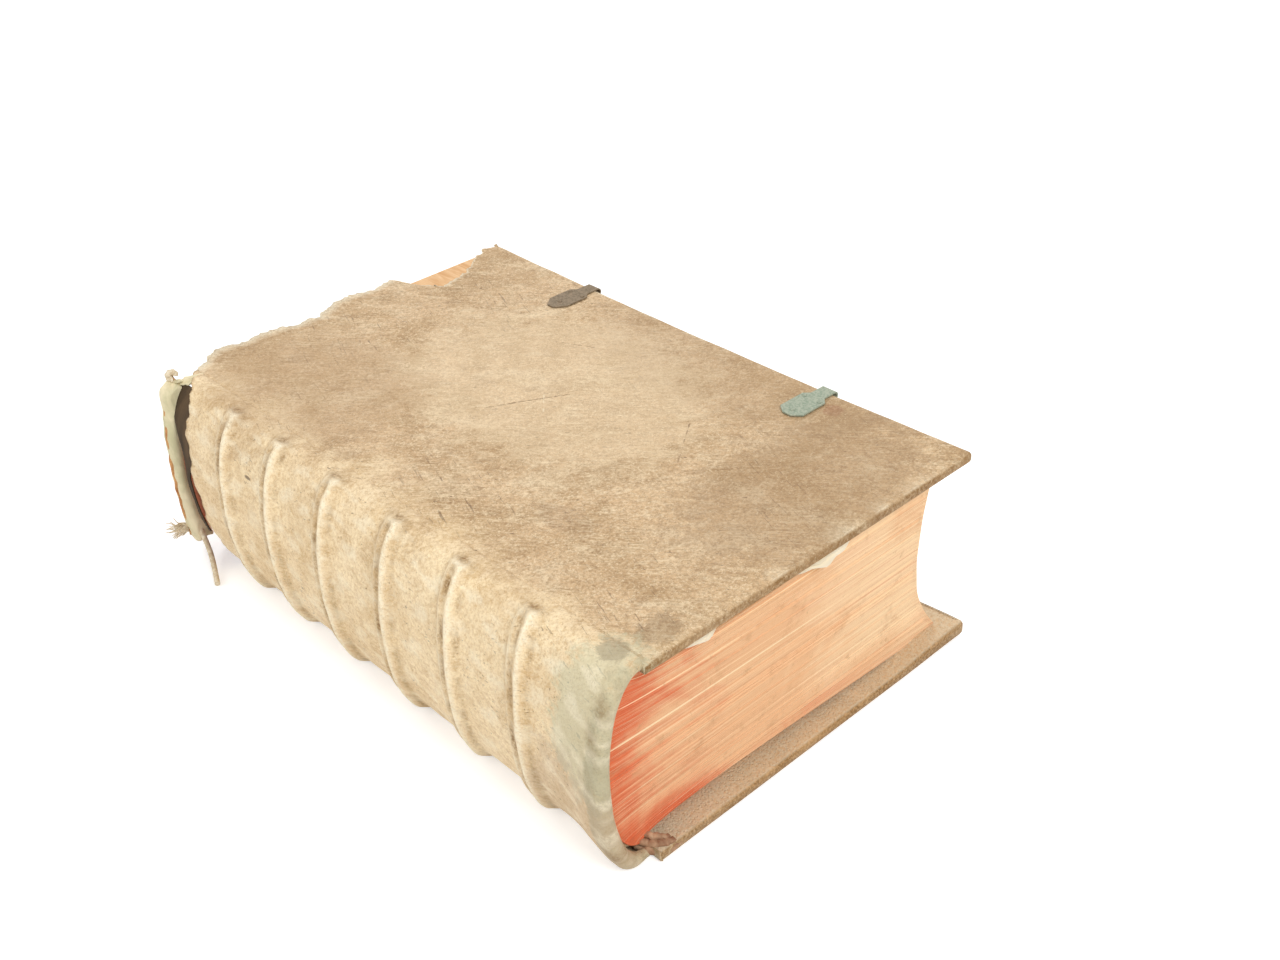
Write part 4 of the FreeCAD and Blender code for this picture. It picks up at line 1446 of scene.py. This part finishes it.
@dataclass
class Pages:
    """The text block: leaves that run from the rounded back to the hollow fore-edge."""

    book: Book
    bulge: float = 25.6
    lean: float = 2.5
    foot: float = 258.0
    top_setback: float = 17.0
    hollow: float = 25.7
    flyleaf: float = 3.4
    back_pull: float = 52.0
    fore_pull: float = 220.0
    gatherings: int = 24
    flyleaves: int = 4
    droops: tuple[Swell, ...] = (Swell(8.0, 22.0, 5.9), Swell(-90.0, 13.0, 4.4))

    def back(self, leaf: np.ndarray) -> tuple[np.ndarray, np.ndarray, np.ndarray, np.ndarray]:
        """Where a leaf starts on the rounded back, and its direction there.

        The back is half a leaning ellipse, divided evenly along its length.

        Args:
            leaf: share from the lowest leaf to the highest.

        Returns:
            x, z, and the x and z of the direction into the book.
        """
        fine = np.radians(np.linspace(-90.0, 90.0, 721))
        half = (self.book.page_top - self.book.page_low) / 2
        x = self.book.joint_x + self.lean * np.sin(fine) - self.bulge * np.cos(fine)
        z = self.book.middle + half * np.sin(fine)
        walked = np.concatenate([[0.0], np.cumsum(np.hypot(np.diff(x), np.diff(z)))])
        share = walked / walked[-1]
        tx, tz = np.gradient(x), np.gradient(z)
        size = np.hypot(tx, tz)
        return (np.interp(leaf, share, x), np.interp(leaf, share, z),
                np.interp(leaf, share, tz / size), np.interp(leaf, share, -tx / size))

    def fore(self, leaf: np.ndarray) -> np.ndarray:
        """The x of the hollow fore-edge for a leaf: a few depths joined by lines and then smoothed.

        Args:
            leaf: share from the lowest leaf to the highest.

        Returns:
            The x values.
        """
        knots = (0.0, 0.14, 0.32, 0.55, 0.8, 1.0)
        depth = (0.0, 0.5, 0.9, 1.0, 0.88, self.top_setback / self.hollow)
        fine = np.linspace(0.0, 1.0, 201)
        soft = np.interp(fine, knots, depth)
        soft = np.convolve(np.pad(soft, 12, mode="edge"), np.ones(25) / 25.0, mode="valid")
        return self.book.joint_x + self.foot - self.hollow * np.interp(leaf, fine, soft)

    def leaf_place(self, leaf: np.ndarray, inward: np.ndarray) -> tuple[np.ndarray, np.ndarray]:
        """A point along a leaf: a cubic curve from the back, square to it, to the fore-edge, level.

        Args:
            leaf: share from the lowest leaf to the highest.
            inward: share from the back to the fore-edge.

        Returns:
            The x and z values.
        """
        bx, bz, dx, dz = self.back(leaf)
        fx = self.fore(leaf)
        top = self.book.page_top - self.flyleaf
        fz = self.book.page_low + (top - self.book.page_low) * leaf
        t = inward
        h0, h1 = 2 * t ** 3 - 3 * t ** 2 + 1, t ** 3 - 2 * t ** 2 + t
        h2, h3 = -2 * t ** 3 + 3 * t ** 2, t ** 3 - t ** 2
        x = h0 * bx + h1 * dx * self.back_pull + h2 * fx + h3 * self.fore_pull
        z = h0 * bz + h1 * dz * self.back_pull + h2 * fz
        return x, np.clip(z, self.book.page_low, self.book.page_top)

    def build(self, pages: bpy.types.Material) -> None:
        """Makes the block of leaves from six grids that meet at its edges.

        The tail and head faces are grids of leaf by inward, the fore-edge and back of leaf by along,
        and the lowest and highest leaf of inward by along. Uneven leaves jut out a little.

        Args:
            pages: its finish.
        """
        leaf = np.linspace(0.0, 1.0, 150)
        inward = 0.5 - 0.5 * np.cos(np.linspace(0.0, math.pi, 90))
        along = np.linspace(self.book.page_tail, self.book.page_head, 60)
        parts: list[tuple[np.ndarray, np.ndarray, np.ndarray]] = []
        s, u = np.meshgrid(leaf, inward, indexing="ij")
        x, z = self.leaf_place(s, u)
        random = np.random.default_rng(4)
        jut = np.interp(s, leaf, random.normal(0.0, 0.25, len(leaf)))
        edge_soft = np.minimum(smooth(u / 0.02), smooth((1.0 - u) / 0.02))
        edge_soft = edge_soft * smooth(s / 0.02) * smooth((1 - s) / 0.02)
        for end, way in ((self.book.page_tail, 1.0), (self.book.page_head, -1.0)):
            y = end + way * (0.5 + jut) * edge_soft
            parts.append((np.stack([x, y, z], axis=-1), s, u))
        s2, y2 = np.meshgrid(leaf, along, indexing="ij")
        rim = np.minimum(smooth((y2 - along[0]) / 4.0), smooth((along[-1] - y2) / 4.0))
        fx, fz = self.leaf_place(s2, np.ones_like(s2))
        fore_jut = np.interp(s2, leaf, random.normal(0.0, 0.3, len(leaf))) - 0.4
        parts.append((np.stack([fx + fore_jut * rim, y2, fz], axis=-1), s2, np.ones_like(s2)))
        bx, bz = self.leaf_place(s2, np.zeros_like(s2))
        gathering = 0.7 * (np.abs(np.sin(s2 * math.pi * self.gatherings)) - 0.5) * rim
        parts.append((np.stack([bx + 0.6 * rim - gathering, y2, bz], axis=-1), s2, np.zeros_like(s2)))
        u3, y3 = np.meshgrid(inward, along, indexing="ij")
        for share in (0.0, 1.0):
            level = np.full_like(u3, share)
            px, pz = self.leaf_place(level, u3)
            parts.append((np.stack([px, y3, pz], axis=-1), level, u3))
        starts = np.cumsum([0] + [grid.shape[0] * grid.shape[1] for grid, _, _ in parts])
        thing = make_mesh(
            "leaves",
            np.concatenate([grid.reshape(-1, 3) for grid, _, _ in parts]),
            np.concatenate([grid_quads(*part[0].shape[:2]) + start for part, start in zip(parts, starts)]),
            {"leaf": np.concatenate([leaves.reshape(-1) for _, leaves, _ in parts]),
             "inward": np.concatenate([depths.reshape(-1) for _, _, depths in parts])},
        )
        face_outward(thing)
        thing.data.set_sharp_from_angle(angle=math.radians(50.0))
        place(thing, Body.TEXT, pages, "pages", "text_block")

    def build_flyleaves(self, paper: bpy.types.Material) -> None:
        """Thin wavy leaves that hang out a little at the tail, under the upper cover.

        Each is a sheet of u from the joint to the fore-edge and v from the tail to the head. It waves
        by two sines of x, and droops where a swell carries its edge past the pages.

        Args:
            paper: their finish.
        """
        book = self.book
        for k in range(self.flyleaves):
            u, v = np.meshgrid(np.linspace(0.03, 1.0, 70), np.linspace(0.0, 1.0, 90), indexing="ij")
            x = book.joint_x + 8.0 + u * (self.foot - self.top_setback - 9.0 + 0.5 * k)
            out = sum(droop.at(x) for droop in self.droops)
            out = out * (1.0 + 0.12 * np.sin(x * 0.35 + k)) * (1.0 - 0.22 * k)
            first = book.page_tail - 0.6 + 0.4 * k - out
            y = first + v * (book.page_head - book.page_tail + 0.6)
            near = np.maximum(smooth(1.0 - v / 0.12), 0.25)
            wave = 0.5 + 0.5 * np.sin(x * 0.045 + 1.1 * k) * np.cos(x * 0.017 + 0.5 * k)
            lift = self.flyleaf * (0.25 + 0.2 * k)
            z = book.page_top - self.flyleaf + 0.3 + lift * (0.35 + 0.65 * wave * near) * smooth(u / 0.3)
            z = z - (0.78 - 0.12 * k) * out * (1.0 - v) ** 14
            points = np.stack([x, y, z], axis=-1)
            thing = make_mesh("flyleaf_%d" % (k + 1), points, grid_quads(*u.shape)[:, ::-1])
            thicken(thing, 0.22)
            place(thing, Body.TEXT, paper, "pages")
        u, v = np.meshgrid(np.linspace(0.0, 1.0, 30), np.linspace(0.0, 1.0, 40), indexing="ij")
        x = book.joint_x + 5.0 + u * (self.foot - 14.0)
        y = book.page_tail + 7.0 + v * (book.page_head - book.page_tail - 14.0)
        points = np.stack([x, y, np.full_like(x, book.page_low - 0.12)], axis=-1)
        last = make_mesh("flyleaf_last", points, grid_quads(*u.shape))
        thicken(last, 0.3)
        place(last, Body.TEXT, paper, "pages")


@dataclass
class HeadCap:
    """The torn-off head cap: a rolled strip of leather round the endband's core, and the loose cord."""

    book: Book
    spine: Spine
    arc: tuple[tuple[float, float], ...] = ((-151.0, 128.0), (-158.6, 66.0), (-155.5, 12.0))
    radius: float = 6.6
    opening: float = 84.0
    faces: float = -62.0
    from_core: float = 1.5
    from_head: float = 7.2
    above: float = 8.0
    edge_radius: float = 1.5
    edge_turn: float = 186.0
    under_spine: float = 1.2
    core_radius: float = 2.5
    knot_radius: float = 2.5
    cord_radius: float = 2.0
    cord_length: float = 65.5
    strands: int = 44
    route: tuple[tuple[float, float, float], ...] = (
        (-157.8, 227.6, 34.0), (-158.2, 226.0, 18.0), (-161.4, 211.5, 9.5),
        (-165.3, 201.0, 6.4), (-170.2, 189.7, 4.0), (-175.2, 178.8, 2.3),
    )
    low_z: float = field(init=False)
    high_z: float = field(init=False)
    middle_y: float = field(init=False)

    def __post_init__(self) -> None:
        """Works out the strip's lowest and highest z, and the y of the strip's and core's middle."""
        self.low_z = self.arc[-1][1]
        self.high_z = self.arc[0][1] + self.above
        self.middle_y = self.book.page_head + self.from_head

    def arc_x(self, z: np.ndarray) -> np.ndarray:
        """The x of the cap's middle at a height: a parabola through the three points of the arc."""
        bend = np.polyfit([p[1] for p in self.arc], [p[0] for p in self.arc], 2)
        return np.polyval(bend, z)

    def build_strip(self, leather: bpy.types.Material, raw: bpy.types.Material,
                    shade_finish: bpy.types.Material) -> None:
        """Leather strip: an open ring carried up the arc, its width and lips uneven.

        The radius widens at the foot and under the top, and closes in at the very top.

        Args:
            leather: finish of its outer face.
            raw: finish of its torn rim.
            shade_finish: finish of its inner face, a dark painted shade inside the roll.
        """
        h, t = np.meshgrid(np.linspace(0.0, 1.0, 170), np.linspace(-1.0, 1.0, 48), indexing="ij")
        z = self.low_z + (self.high_z - self.low_z) * h
        lips = 180.0 - self.opening / 2 + 12.0 * ripple(z, np.zeros_like(z), 18.0, 41) * np.abs(t)
        turn = np.radians(self.faces + t * lips)
        r = self.radius * (1.0 - 0.07 * ripple(z, turn * 8.0, 44.0, 42))
        r = r + 0.3 * ripple(z, turn * 6.0, 8.0, 43)
        r = r + 1.6 * (1.0 - h) ** 5 + 1.9 * bell(h, 0.93, 0.07)
        r = r * (1.0 - 0.72 * smooth((h - 0.955) / 0.045))
        x = self.arc_x(z) - self.from_core + r * np.cos(turn)
        y = np.maximum(self.middle_y + r * np.sin(turn), self.book.page_head + 0.4)
        ends = 2.4 * ripple(turn * 6.0, np.zeros_like(z), 7.0, 44) * np.abs(1.0 - 2.0 * h) ** 6
        points = np.stack([x, y, z + ends], axis=-1)
        thing = make_mesh("head_cap_strip", points, grid_quads(*h.shape))
        thicken(thing, 1.3)
        wall = thing.modifiers["wall"]
        # The inner face takes the dark finish that paints the shade inside the roll
        wall.material_offset = 1
        wall.material_offset_rim = 2
        for extra in (leather, shade_finish, raw):
            thing.data.materials.append(extra)
        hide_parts("torn_head_cap")
        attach(thing, Body.TEXT.value)
        LOG.info("head_cap_strip rides on %s", Body.TEXT.value)

    def build_edge(self, raw: bpy.types.Material) -> None:
        """The strip's wide raw edge: an uneven tube up the arc, at one turn of the ring.

        Args:
            raw: its finish.
        """
        turn = math.radians(self.edge_turn)
        z = np.linspace(self.low_z + 3.0, self.high_z - 14.0, 90)
        r = self.radius - 0.5
        path = np.stack([
            self.arc_x(z) - self.from_core + r * math.cos(turn) + 0.35 * np.sin(z * 0.31),
            self.middle_y + r * math.sin(turn) + 0.3 * np.sin(z * 0.47 + 1.0),
            z,
        ], axis=-1)
        share = np.linspace(0.0, 1.0, len(path))
        radii = self.edge_radius * (0.9 + 0.2 * np.sin(share * 17.0) * np.sin(share * 41.0))
        place(tube("head_cap_raw_edge", path, radii), Body.TEXT, raw, "raw_leather")

    def build_scrap(self, shade_finish: bpy.types.Material) -> None:
        """A dark sheet of painted shadow in the gap between the strip and the torn back: a band that keeps
        under the leather.

        It follows the spine's plain back from inside, and its two edges step towards the head.

        Args:
            shade_finish: its finish, a dark painted shade.
        """
        h, u = np.meshgrid(np.linspace(0.0, 1.0, 60), np.linspace(0.0, 1.0, 12), indexing="ij")
        low, high = self.low_z + 13.0, self.high_z - 2.0
        z = low + (high - low) * h
        x = self.spine.back_x(z) + self.under_spine
        wide = 4.5 + 13.0 * smooth((h - 0.42) / 0.25)
        forward = 0.8 * np.sin(z * 0.21) + 13.0 * smooth((h - 0.60) / 0.25)
        y = self.book.page_head - 10.5 - wide * u + forward * (1.0 - u)
        points = np.stack([x, y, z], axis=-1)
        scrap = make_mesh("head_cap_shadow_sheet", points, grid_quads(*h.shape))
        thicken(scrap, 0.8)
        place(scrap, Body.TEXT, shade_finish, "raw_leather")

    def build_bridge(self, leather: bpy.types.Material) -> None:
        """The scrap of leather that still ties the strip's top to the torn corner of the back.

        It is a ruled sheet between two slanting lines, arched and crumpled by ripples.

        Args:
            leather: its finish.
        """
        u, v = np.meshgrid(np.linspace(0.0, 1.0, 40), np.linspace(0.0, 1.0, 26), indexing="ij")
        near = np.array([self.arc_x(np.array(self.high_z)) - 3.0, self.middle_y + 4.0, self.high_z - 5.0])
        far = np.array([self.book.joint_x - 3.0, self.book.page_head - 3.0, self.book.height - 2.2])
        start = near[None, None, :] + (v[..., None] - 0.15) * np.array([2.0, -11.0, 6.5])
        end = far[None, None, :] + (v[..., None] - 0.5) * np.array([16.0, 3.0, 2.0])
        points = start + (end - start) * u[..., None]
        points[..., 2] += 2.2 * np.sin(math.pi * v) * (1.0 - u) + 0.7 * ripple(u * 22.0, v * 14.0, 6.0, 91)
        points[..., 0] += 0.8 * ripple(u * 22.0, v * 14.0, 7.0, 92)
        points[..., 2] = np.minimum(points[..., 2], self.book.height - 0.1)
        thing = make_mesh("head_cap_bridge", points, grid_quads(*u.shape))
        thicken(thing, 1.2)
        place(thing, Body.TEXT, leather, "raw_leather")

    def build_core(self, cord: bpy.types.Material) -> None:
        """Core of the endband up the cap, wound in fine rings, with a pale knot at its torn top.

        Args:
            cord: its finish.
        """
        z = np.linspace(self.route[0][2] + 0.3, self.high_z - 1.0, 60)
        y = np.full_like(z, self.middle_y - 1.2)
        path = np.stack([self.arc_x(z), y, z], axis=-1)
        share = np.linspace(0.0, 1.0, len(path))
        core = tube("head_endband", path, self.core_radius * (0.94 + 0.06 * np.sin(share * 260.0)), 16)
        place(core, Body.TEXT, cord, "endband_cord", "head_endband_core")
        top = path[-1]
        turn = np.linspace(0.0, 1.6 * math.pi, 48)
        loop = np.stack([
            top[0] - 1.6 - 2.3 * np.sin(turn),
            top[1] + 0.8 * np.sin(turn * 0.9),
            top[2] + 2.6 + 2.3 * (1.0 - np.cos(turn)),
        ], axis=-1)
        share = np.linspace(0.0, 1.0, len(loop))
        radii = self.knot_radius * (0.92 + 0.1 * np.sin(share * 37.0)) * (1.0 - 0.2 * share ** 4)
        place(tube("endband_knot", loop, radii, 16), Body.TEXT, cord, "endband_cord")

    def build_cord(self, cord: bpy.types.Material) -> None:
        """The loose end of the core: one smooth line through its route, down to the table.

        Args:
            cord: its finish.
        """
        data = bpy.data.curves.new("loose_endband", "CURVE")
        data.dimensions = "3D"
        line = data.splines.new("NURBS")
        line.points.add(len(self.route) - 1)
        for point, at in zip(line.points, self.route):
            point.co = (at[0] * MM, at[1] * MM, at[2] * MM, 1.0)
        line.order_u = 3
        line.use_endpoint_u = True
        data.resolution_u = 16
        data.bevel_depth = (self.cord_radius - 0.1) * MM
        data.bevel_resolution = 5
        data.use_fill_caps = True
        thing = bpy.data.objects.new("loose_endband", data)
        bpy.context.scene.collection.objects.link(thing)
        data.materials.append(cord)
        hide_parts("loose_endband_cord")
        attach(thing, Body.TEXT.value)
        LOG.info("loose_endband rides on %s", Body.TEXT.value)

    def build_tuft(self, thread: bpy.types.Material) -> None:
        """Frayed threads at the foot of the cap, each a thin tube that bends with the square of its run.

        Args:
            thread: their finish.
        """
        random = np.random.default_rng(12)
        root = np.array([self.arc_x(np.array(20.0)) - 7.6, self.middle_y + 1.5, 21.0])
        share = np.linspace(0.0, 1.0, 10)
        t = share[:, None]
        for k in range(self.strands):
            reach = random.uniform(5.0, 15.0)
            aim = np.array([-1.0, random.uniform(-0.3, 0.9), random.uniform(-0.8, 0.7)])
            sway = np.array([random.uniform(-3, 3), random.uniform(-3, 3), random.uniform(-4, 3)])
            start = root + random.uniform(-2.0, 2.0, 3)
            path = start + aim / np.linalg.norm(aim) * reach * t + sway * t ** 2
            path = path + 0.5 * np.sin(t * 9.0 + k)
            strand = tube("fray_%02d" % (k + 1), path, 0.6 * (1.0 - 0.75 * share) + 0.08, 6)
            place(strand, Body.TEXT, thread, "endband_cord")


@dataclass
class Metalwork:
    """Catch plates and rivets: the frame's own solids, their edges softened."""

    soften: float = 0.25
    flat_angle: float = 3.0
    edge_angle: float = 35.0

    def copy_of(self, node: str, name: str) -> bpy.types.Object:
        """A merged copy of a node with rounded edges.

        Args:
            node: name of the node.
            name: name of the copy.

        Returns:
            The copy.
        """
        mesh = frame["nodes"][node].data.copy()
        mesh.name = name
        mesh.materials.clear()
        thing = bpy.data.objects.new(name, mesh)
        bpy.context.scene.collection.objects.link(thing)
        work = bmesh.new()
        work.from_mesh(mesh)
        bmesh.ops.remove_doubles(work, verts=work.verts, dist=MERGE / 2)
        bmesh.ops.dissolve_limit(work, angle_limit=math.radians(self.flat_angle),
                                 verts=work.verts, edges=work.edges)
        work.to_mesh(mesh)
        work.free()
        soft = thing.modifiers.new("soft", "BEVEL")
        soft.width = self.soften * MM
        soft.segments = 2
        soft.limit_method = "ANGLE"
        soft.angle_limit = math.radians(self.edge_angle)
        return thing

    def build(self, bronze: bpy.types.Material, green: bpy.types.Material) -> None:
        """Dresses both plates with their rivets.

        Args:
            bronze: finish of the plate at the head.
            green: finish of the plate at the tail.
        """
        for end, finish, slot in (("head", bronze, "bronze"), ("tail", green, "verdigris")):
            for kind in ("plate", "rivets"):
                node = "catch_%s_%s" % (kind, end)
                piece = self.copy_of(node, "old_%s_%s" % (kind, end))
                place(piece, Body.UPPER, finish, slot, node)


@dataclass
class Boards:
    """Wooden boards, pastedowns, supports and linings, dressed as the frame has them."""

    slots: tuple[str, ...] = ("wood", "thong", "pastedown_paper", "lining_paper", "endband_cord")

    def build(self, finishes: dict[str, bpy.types.Material]) -> None:
        """Gives each hidden or partly seen node its finish.

        Args:
            finishes: all finishes by slot.
        """
        for row in frame["record"]["subparts"]:
            if row["material_slot"] in self.slots:
                worn = frame["nodes"][row["node"]].data.materials
                worn.clear()
                worn.append(finishes[row["material_slot"]])
                LOG.info("%s is dressed in %s", row["node"], row["material_slot"])


@dataclass(frozen=True)
class Lamp:
    """A square area lamp that faces the book: its place and width in metres, its power in watts."""

    name: str
    at: tuple[float, float, float]
    size: float
    power: float

    def build(self) -> None:
        """Hangs the lamp, turned to the middle of the table."""
        data = bpy.data.lights.new(self.name, "AREA")
        data.size = self.size
        data.energy = self.power
        lamp = bpy.data.objects.new(self.name, data)
        lamp.location = self.at
        lamp.rotation_euler = (-Vector(self.at)).to_track_quat("-Z", "Y").to_euler()
        bpy.context.scene.collection.objects.link(lamp)


@dataclass
class Studio:
    """Pale floor, soft lamps, white surround and the photograph's camera."""

    floor_half: float = 6.0
    floor_glow: float = 0.42
    surround: float = 0.56
    lamps: tuple[Lamp, ...] = (
        Lamp("key", (-0.2, -2.0, 1.9), 1.2, 34.0),
        Lamp("fill", (-1.9, 0.6, 1.3), 1.6, 14.0),
        Lamp("back", (0.9, 1.6, 1.9), 1.4, 18.0),
    )

    def build(self) -> None:
        """Makes the floor, the lamps, the world and the camera."""
        self.floor()
        for lamp in self.lamps:
            lamp.build()
        self.world()
        self.camera()
        bpy.context.scene.view_settings.view_transform = "Standard"

    def white_to_lens(self, s: Shader, strength: float) -> Socket:
        """A strength that only the camera, gloss and glass see.

        Args:
            s: helper of the material or world.
            strength: the strength, which is 0 to every other ray.

        Returns:
            The output that holds it.
        """
        light = s.node("ShaderNodeLightPath")
        seen = s.maths("MAXIMUM", light.outputs["Is Camera Ray"], light.outputs["Is Glossy Ray"])
        seen = s.maths("MAXIMUM", seen, light.outputs["Is Transmission Ray"])
        return s.times(seen, strength)

    def floor(self) -> None:
        """A wide plain floor that keeps the book's shadow."""
        half = self.floor_half / MM
        corners = np.array([[-half, -half, 0.0], [half, -half, 0.0], [half, half, 0.0], [-half, half, 0.0]])
        thing = make_mesh("floor", corners, np.array([[0, 1, 2, 3]]))
        material = bpy.data.materials.new("floor")
        material.use_nodes = True
        material.node_tree.nodes.clear()
        s = Shader(material.node_tree)
        matt = s.node("ShaderNodeBsdfDiffuse", {"Color": (0.86, 0.86, 0.86, 1.0)})
        glow = s.node("ShaderNodeEmission", {"Strength": self.white_to_lens(s, self.floor_glow)})
        both = s.node("ShaderNodeAddShader", {0: matt.outputs[0], 1: glow.outputs[0]})
        s.node("ShaderNodeOutputMaterial", {"Surface": both.outputs[0]})
        thing.data.materials.append(material)

    def world(self) -> None:
        """Even surround: a plain level of light, white to the camera."""
        world = bpy.data.worlds.new("surround")
        world.use_nodes = True
        world.node_tree.nodes.clear()
        s = Shader(world.node_tree)
        extra = self.white_to_lens(s, 1.0 - self.surround)
        strength = s.maths("ADD", extra, self.surround)
        light = s.node("ShaderNodeBackground", {"Color": (1.0, 1.0, 1.0, 1.0), "Strength": strength})
        s.node("ShaderNodeOutputWorld", {"Surface": light.outputs[0]})
        bpy.context.scene.world = world

    def camera(self) -> None:
        """The camera at the photograph's place and angle."""
        data = bpy.data.cameras.new("camera")
        data.lens = CAMERA_LENS
        data.sensor_width = CAMERA_SENSOR
        data.clip_end = 100.0
        camera = bpy.data.objects.new("camera", data)
        camera.location = tuple(c * MM for c in CAMERA_PLACE)
        camera.rotation_euler = tuple(math.radians(a) for a in CAMERA_TURN)
        bpy.context.scene.collection.objects.link(camera)
        bpy.context.scene.camera = camera


# Height of the upper cover's outer face, which most marks lie on
TOP = 137.0
LEATHER_PATCHES = (
    Patch((118.0, -40.0, TOP), 62.0, "a98a66", 0.35, (1.0, 0.5, 0.3)),
    Patch((-78.0, -94.0, TOP), 17.0, "8a6d50", 0.22, (1.5, 0.7, 0.3), 2.0),
    Patch((117.0, -126.0, TOP), 7.0, "8a4a30", 0.34, (1.0, 1.0, 0.3), 2.6),
    Patch((-112.0, -204.0, TOP), 10.0, "7c6448", 0.38, (0.7, 0.9, 0.3), 3.0),
    Patch((-162.5, 125.0, 108.0), 2.6, "5a4430", 0.80, (1.0, 0.55, 1.6), 2.0),
    # Painted light with a warmer tan: strips that lift the shaded inner face of the lower cover at the tail
    # and head
    Patch((0.0, -214.0, 14.0), 140.0, "e0b078", 0.62, (0.9, 4.0, 12.0), 0.5),
    Patch((0.0, 214.0, 14.0), 140.0, "e0b078", 0.62, (0.9, 4.0, 12.0), 0.5),
    Patch((40.0, -170.0, TOP), 80.0, "9c7c58", 0.40, (0.8, 1.4, 0.3), 2.0),
    Patch((20.0, 30.0, TOP), 90.0, "ecd4ae", 0.35, (1.0, 0.7, 0.3), 1.6),
    Patch((-90.0, 150.0, TOP), 70.0, "b3936c", 0.40, (1.0, 0.8, 0.3), 1.6),
    Patch((-152.0, -204.0, 100.0), 40.0, "cbc8a8", 0.60, (1.0, 1.3, 0.75), 1.6),
    Patch((-150.0, -216.0, 40.0), 44.0, "aaa486", 0.60, (1.0, 4.2, 0.45), 1.1),
    Patch((-160.0, -190.0, 30.0), 40.0, "b59a80", 0.35, (1.0, 1.0, 0.8), 1.6),
    Patch((-138.0, -199.0, 134.0), 9.0, "6f5a42", 0.40, (1.0, 0.8, 1.0), 2.6),
)
SCRATCHES = (
    Scratch((60.0, 75.0, TOP), (72.0, 48.0, TOP)),
    Scratch((-30.0, 40.0, TOP), (18.0, 12.0, TOP), 0.9),
    Scratch((8.0, -98.0, TOP), (44.0, -72.0, TOP), 0.7),
    Scratch((-8.0, 8.0, TOP), (6.0, 24.0, TOP), 0.6, "f1e0c0"),
    Scratch((-64.0, 66.0, TOP), (-20.0, 58.0, TOP), 0.5, "94744e", 0.6),
    Scratch((36.0, 120.0, TOP), (70.0, 128.0, TOP), 0.5, "94744e", 0.6),
    Scratch((70.0, -30.0, TOP), (104.0, -52.0, TOP), 0.5, "94744e", 0.6),
)


def make_finishes() -> dict[str, bpy.types.Material]:
    """All finishes by the record's slot, with a few extra ones for the scene's own pieces.

    Returns:
        Name to material.
    """
    GROUPS[Effect.MOTTLE] = mottle_group()
    GROUPS[Effect.GRAIN] = grain_group()
    GROUPS[Effect.PATCH] = patch_group()
    GROUPS[Effect.SCRATCH] = scratch_group()
    finishes = [
        LeatherFinish("cover_leather", "d6b489", "94734c", "f1dbb6", "5a3f29", "ffe9c0", "c8a26c",
                      "86612f", "fdf1d4", 0.50, 0.60, 0.85, 0.7, 0.46, LEATHER_PATCHES, SCRATCHES),
        PlainFinish("fold_leather", "c9a685", "8a6248", 120.0, (1.0, 1.0, 1.0), 0.75, 0.5),
        PagesFinish("pages"),
        PlainFinish("flyleaf", "fbf2de", "f3e6ca", 40.0, (1.0, 1.0, 1.0), 0.85, 0.1),
        PlainFinish("wood", "e9c193", "d2a06c", 30.0, (9.0, 1.0, 9.0), 0.7, 0.1),
        PlainFinish("raw_leather", "d3a06a", "a8693c", 90.0, (1.0, 1.0, 1.0), 0.9, 0.4),
        PlainFinish("cap_leather", "f2e3c0", "c6bf98", 70.0, (1.0, 1.0, 0.4), 0.7, 0.35),
        # Painted shade: dark finishes for the shadowed gap under the head cap and for the inside of its
        # roll
        PlainFinish("cap_shade", "5e4a34", "3a2e20", 60.0, (1.0, 1.0, 0.4), 0.85, 0.3),
        PlainFinish("cap_inside_shade", "8a8460", "55503a", 60.0, (1.0, 1.0, 0.4), 0.8, 0.3),
        PlainFinish("thong", "d8c19a", "a98c66", 80.0, (1.0, 1.0, 1.0), 0.85, 0.3),
        PlainFinish("pastedown_paper", "e6d6b4", "dcc9a2", 20.0, (1.0, 1.0, 1.0), 0.9, 0.06),
        PlainFinish("lining_paper", "d9c49a", "b89a70", 40.0, (1.0, 1.0, 1.0), 0.9, 0.1),
        PlainFinish("endband_cord", "f0e4cb", "cdb896", 300.0, (1.0, 1.0, 1.0), 0.9, 0.3),
        MetalFinish("bronze", "86725a", "8f7d66", "74654f", 0.7),
        MetalFinish("verdigris", "9a9478", "aab09c", "8d9a86", 0.95),
    ]
    return {finish.name: finish.make() for finish in finishes}


def main() -> None:
    """Builds the studio and the book's pieces in order."""
    Studio().build()
    finishes = make_finishes()
    book = Book()
    spine = Spine(book)
    cap = HeadCap(book, spine)
    cap.build_cord(finishes["endband_cord"])
    Boards().build(finishes)
    pages = Pages(book)
    pages.build(finishes["pages"])
    pages.build_flyleaves(finishes["flyleaf"])
    for upper in (False, True):
        CoverSkin(book, upper).build(finishes["cover_leather"])
    spine.build(finishes["cover_leather"])
    tucks = JointTuck(book)
    tucks.build(finishes["cover_leather"])
    tucks.folds(finishes["fold_leather"])
    cap.build_strip(finishes["cap_leather"], finishes["raw_leather"], finishes["cap_inside_shade"])
    cap.build_edge(finishes["raw_leather"])
    cap.build_scrap(finishes["cap_shade"])
    cap.build_bridge(finishes["cap_leather"])
    cap.build_core(finishes["endband_cord"])
    cap.build_tuft(finishes["endband_cord"])
    Metalwork().build(finishes["bronze"], finishes["verdigris"])


if __name__ == "__main__":
    main()
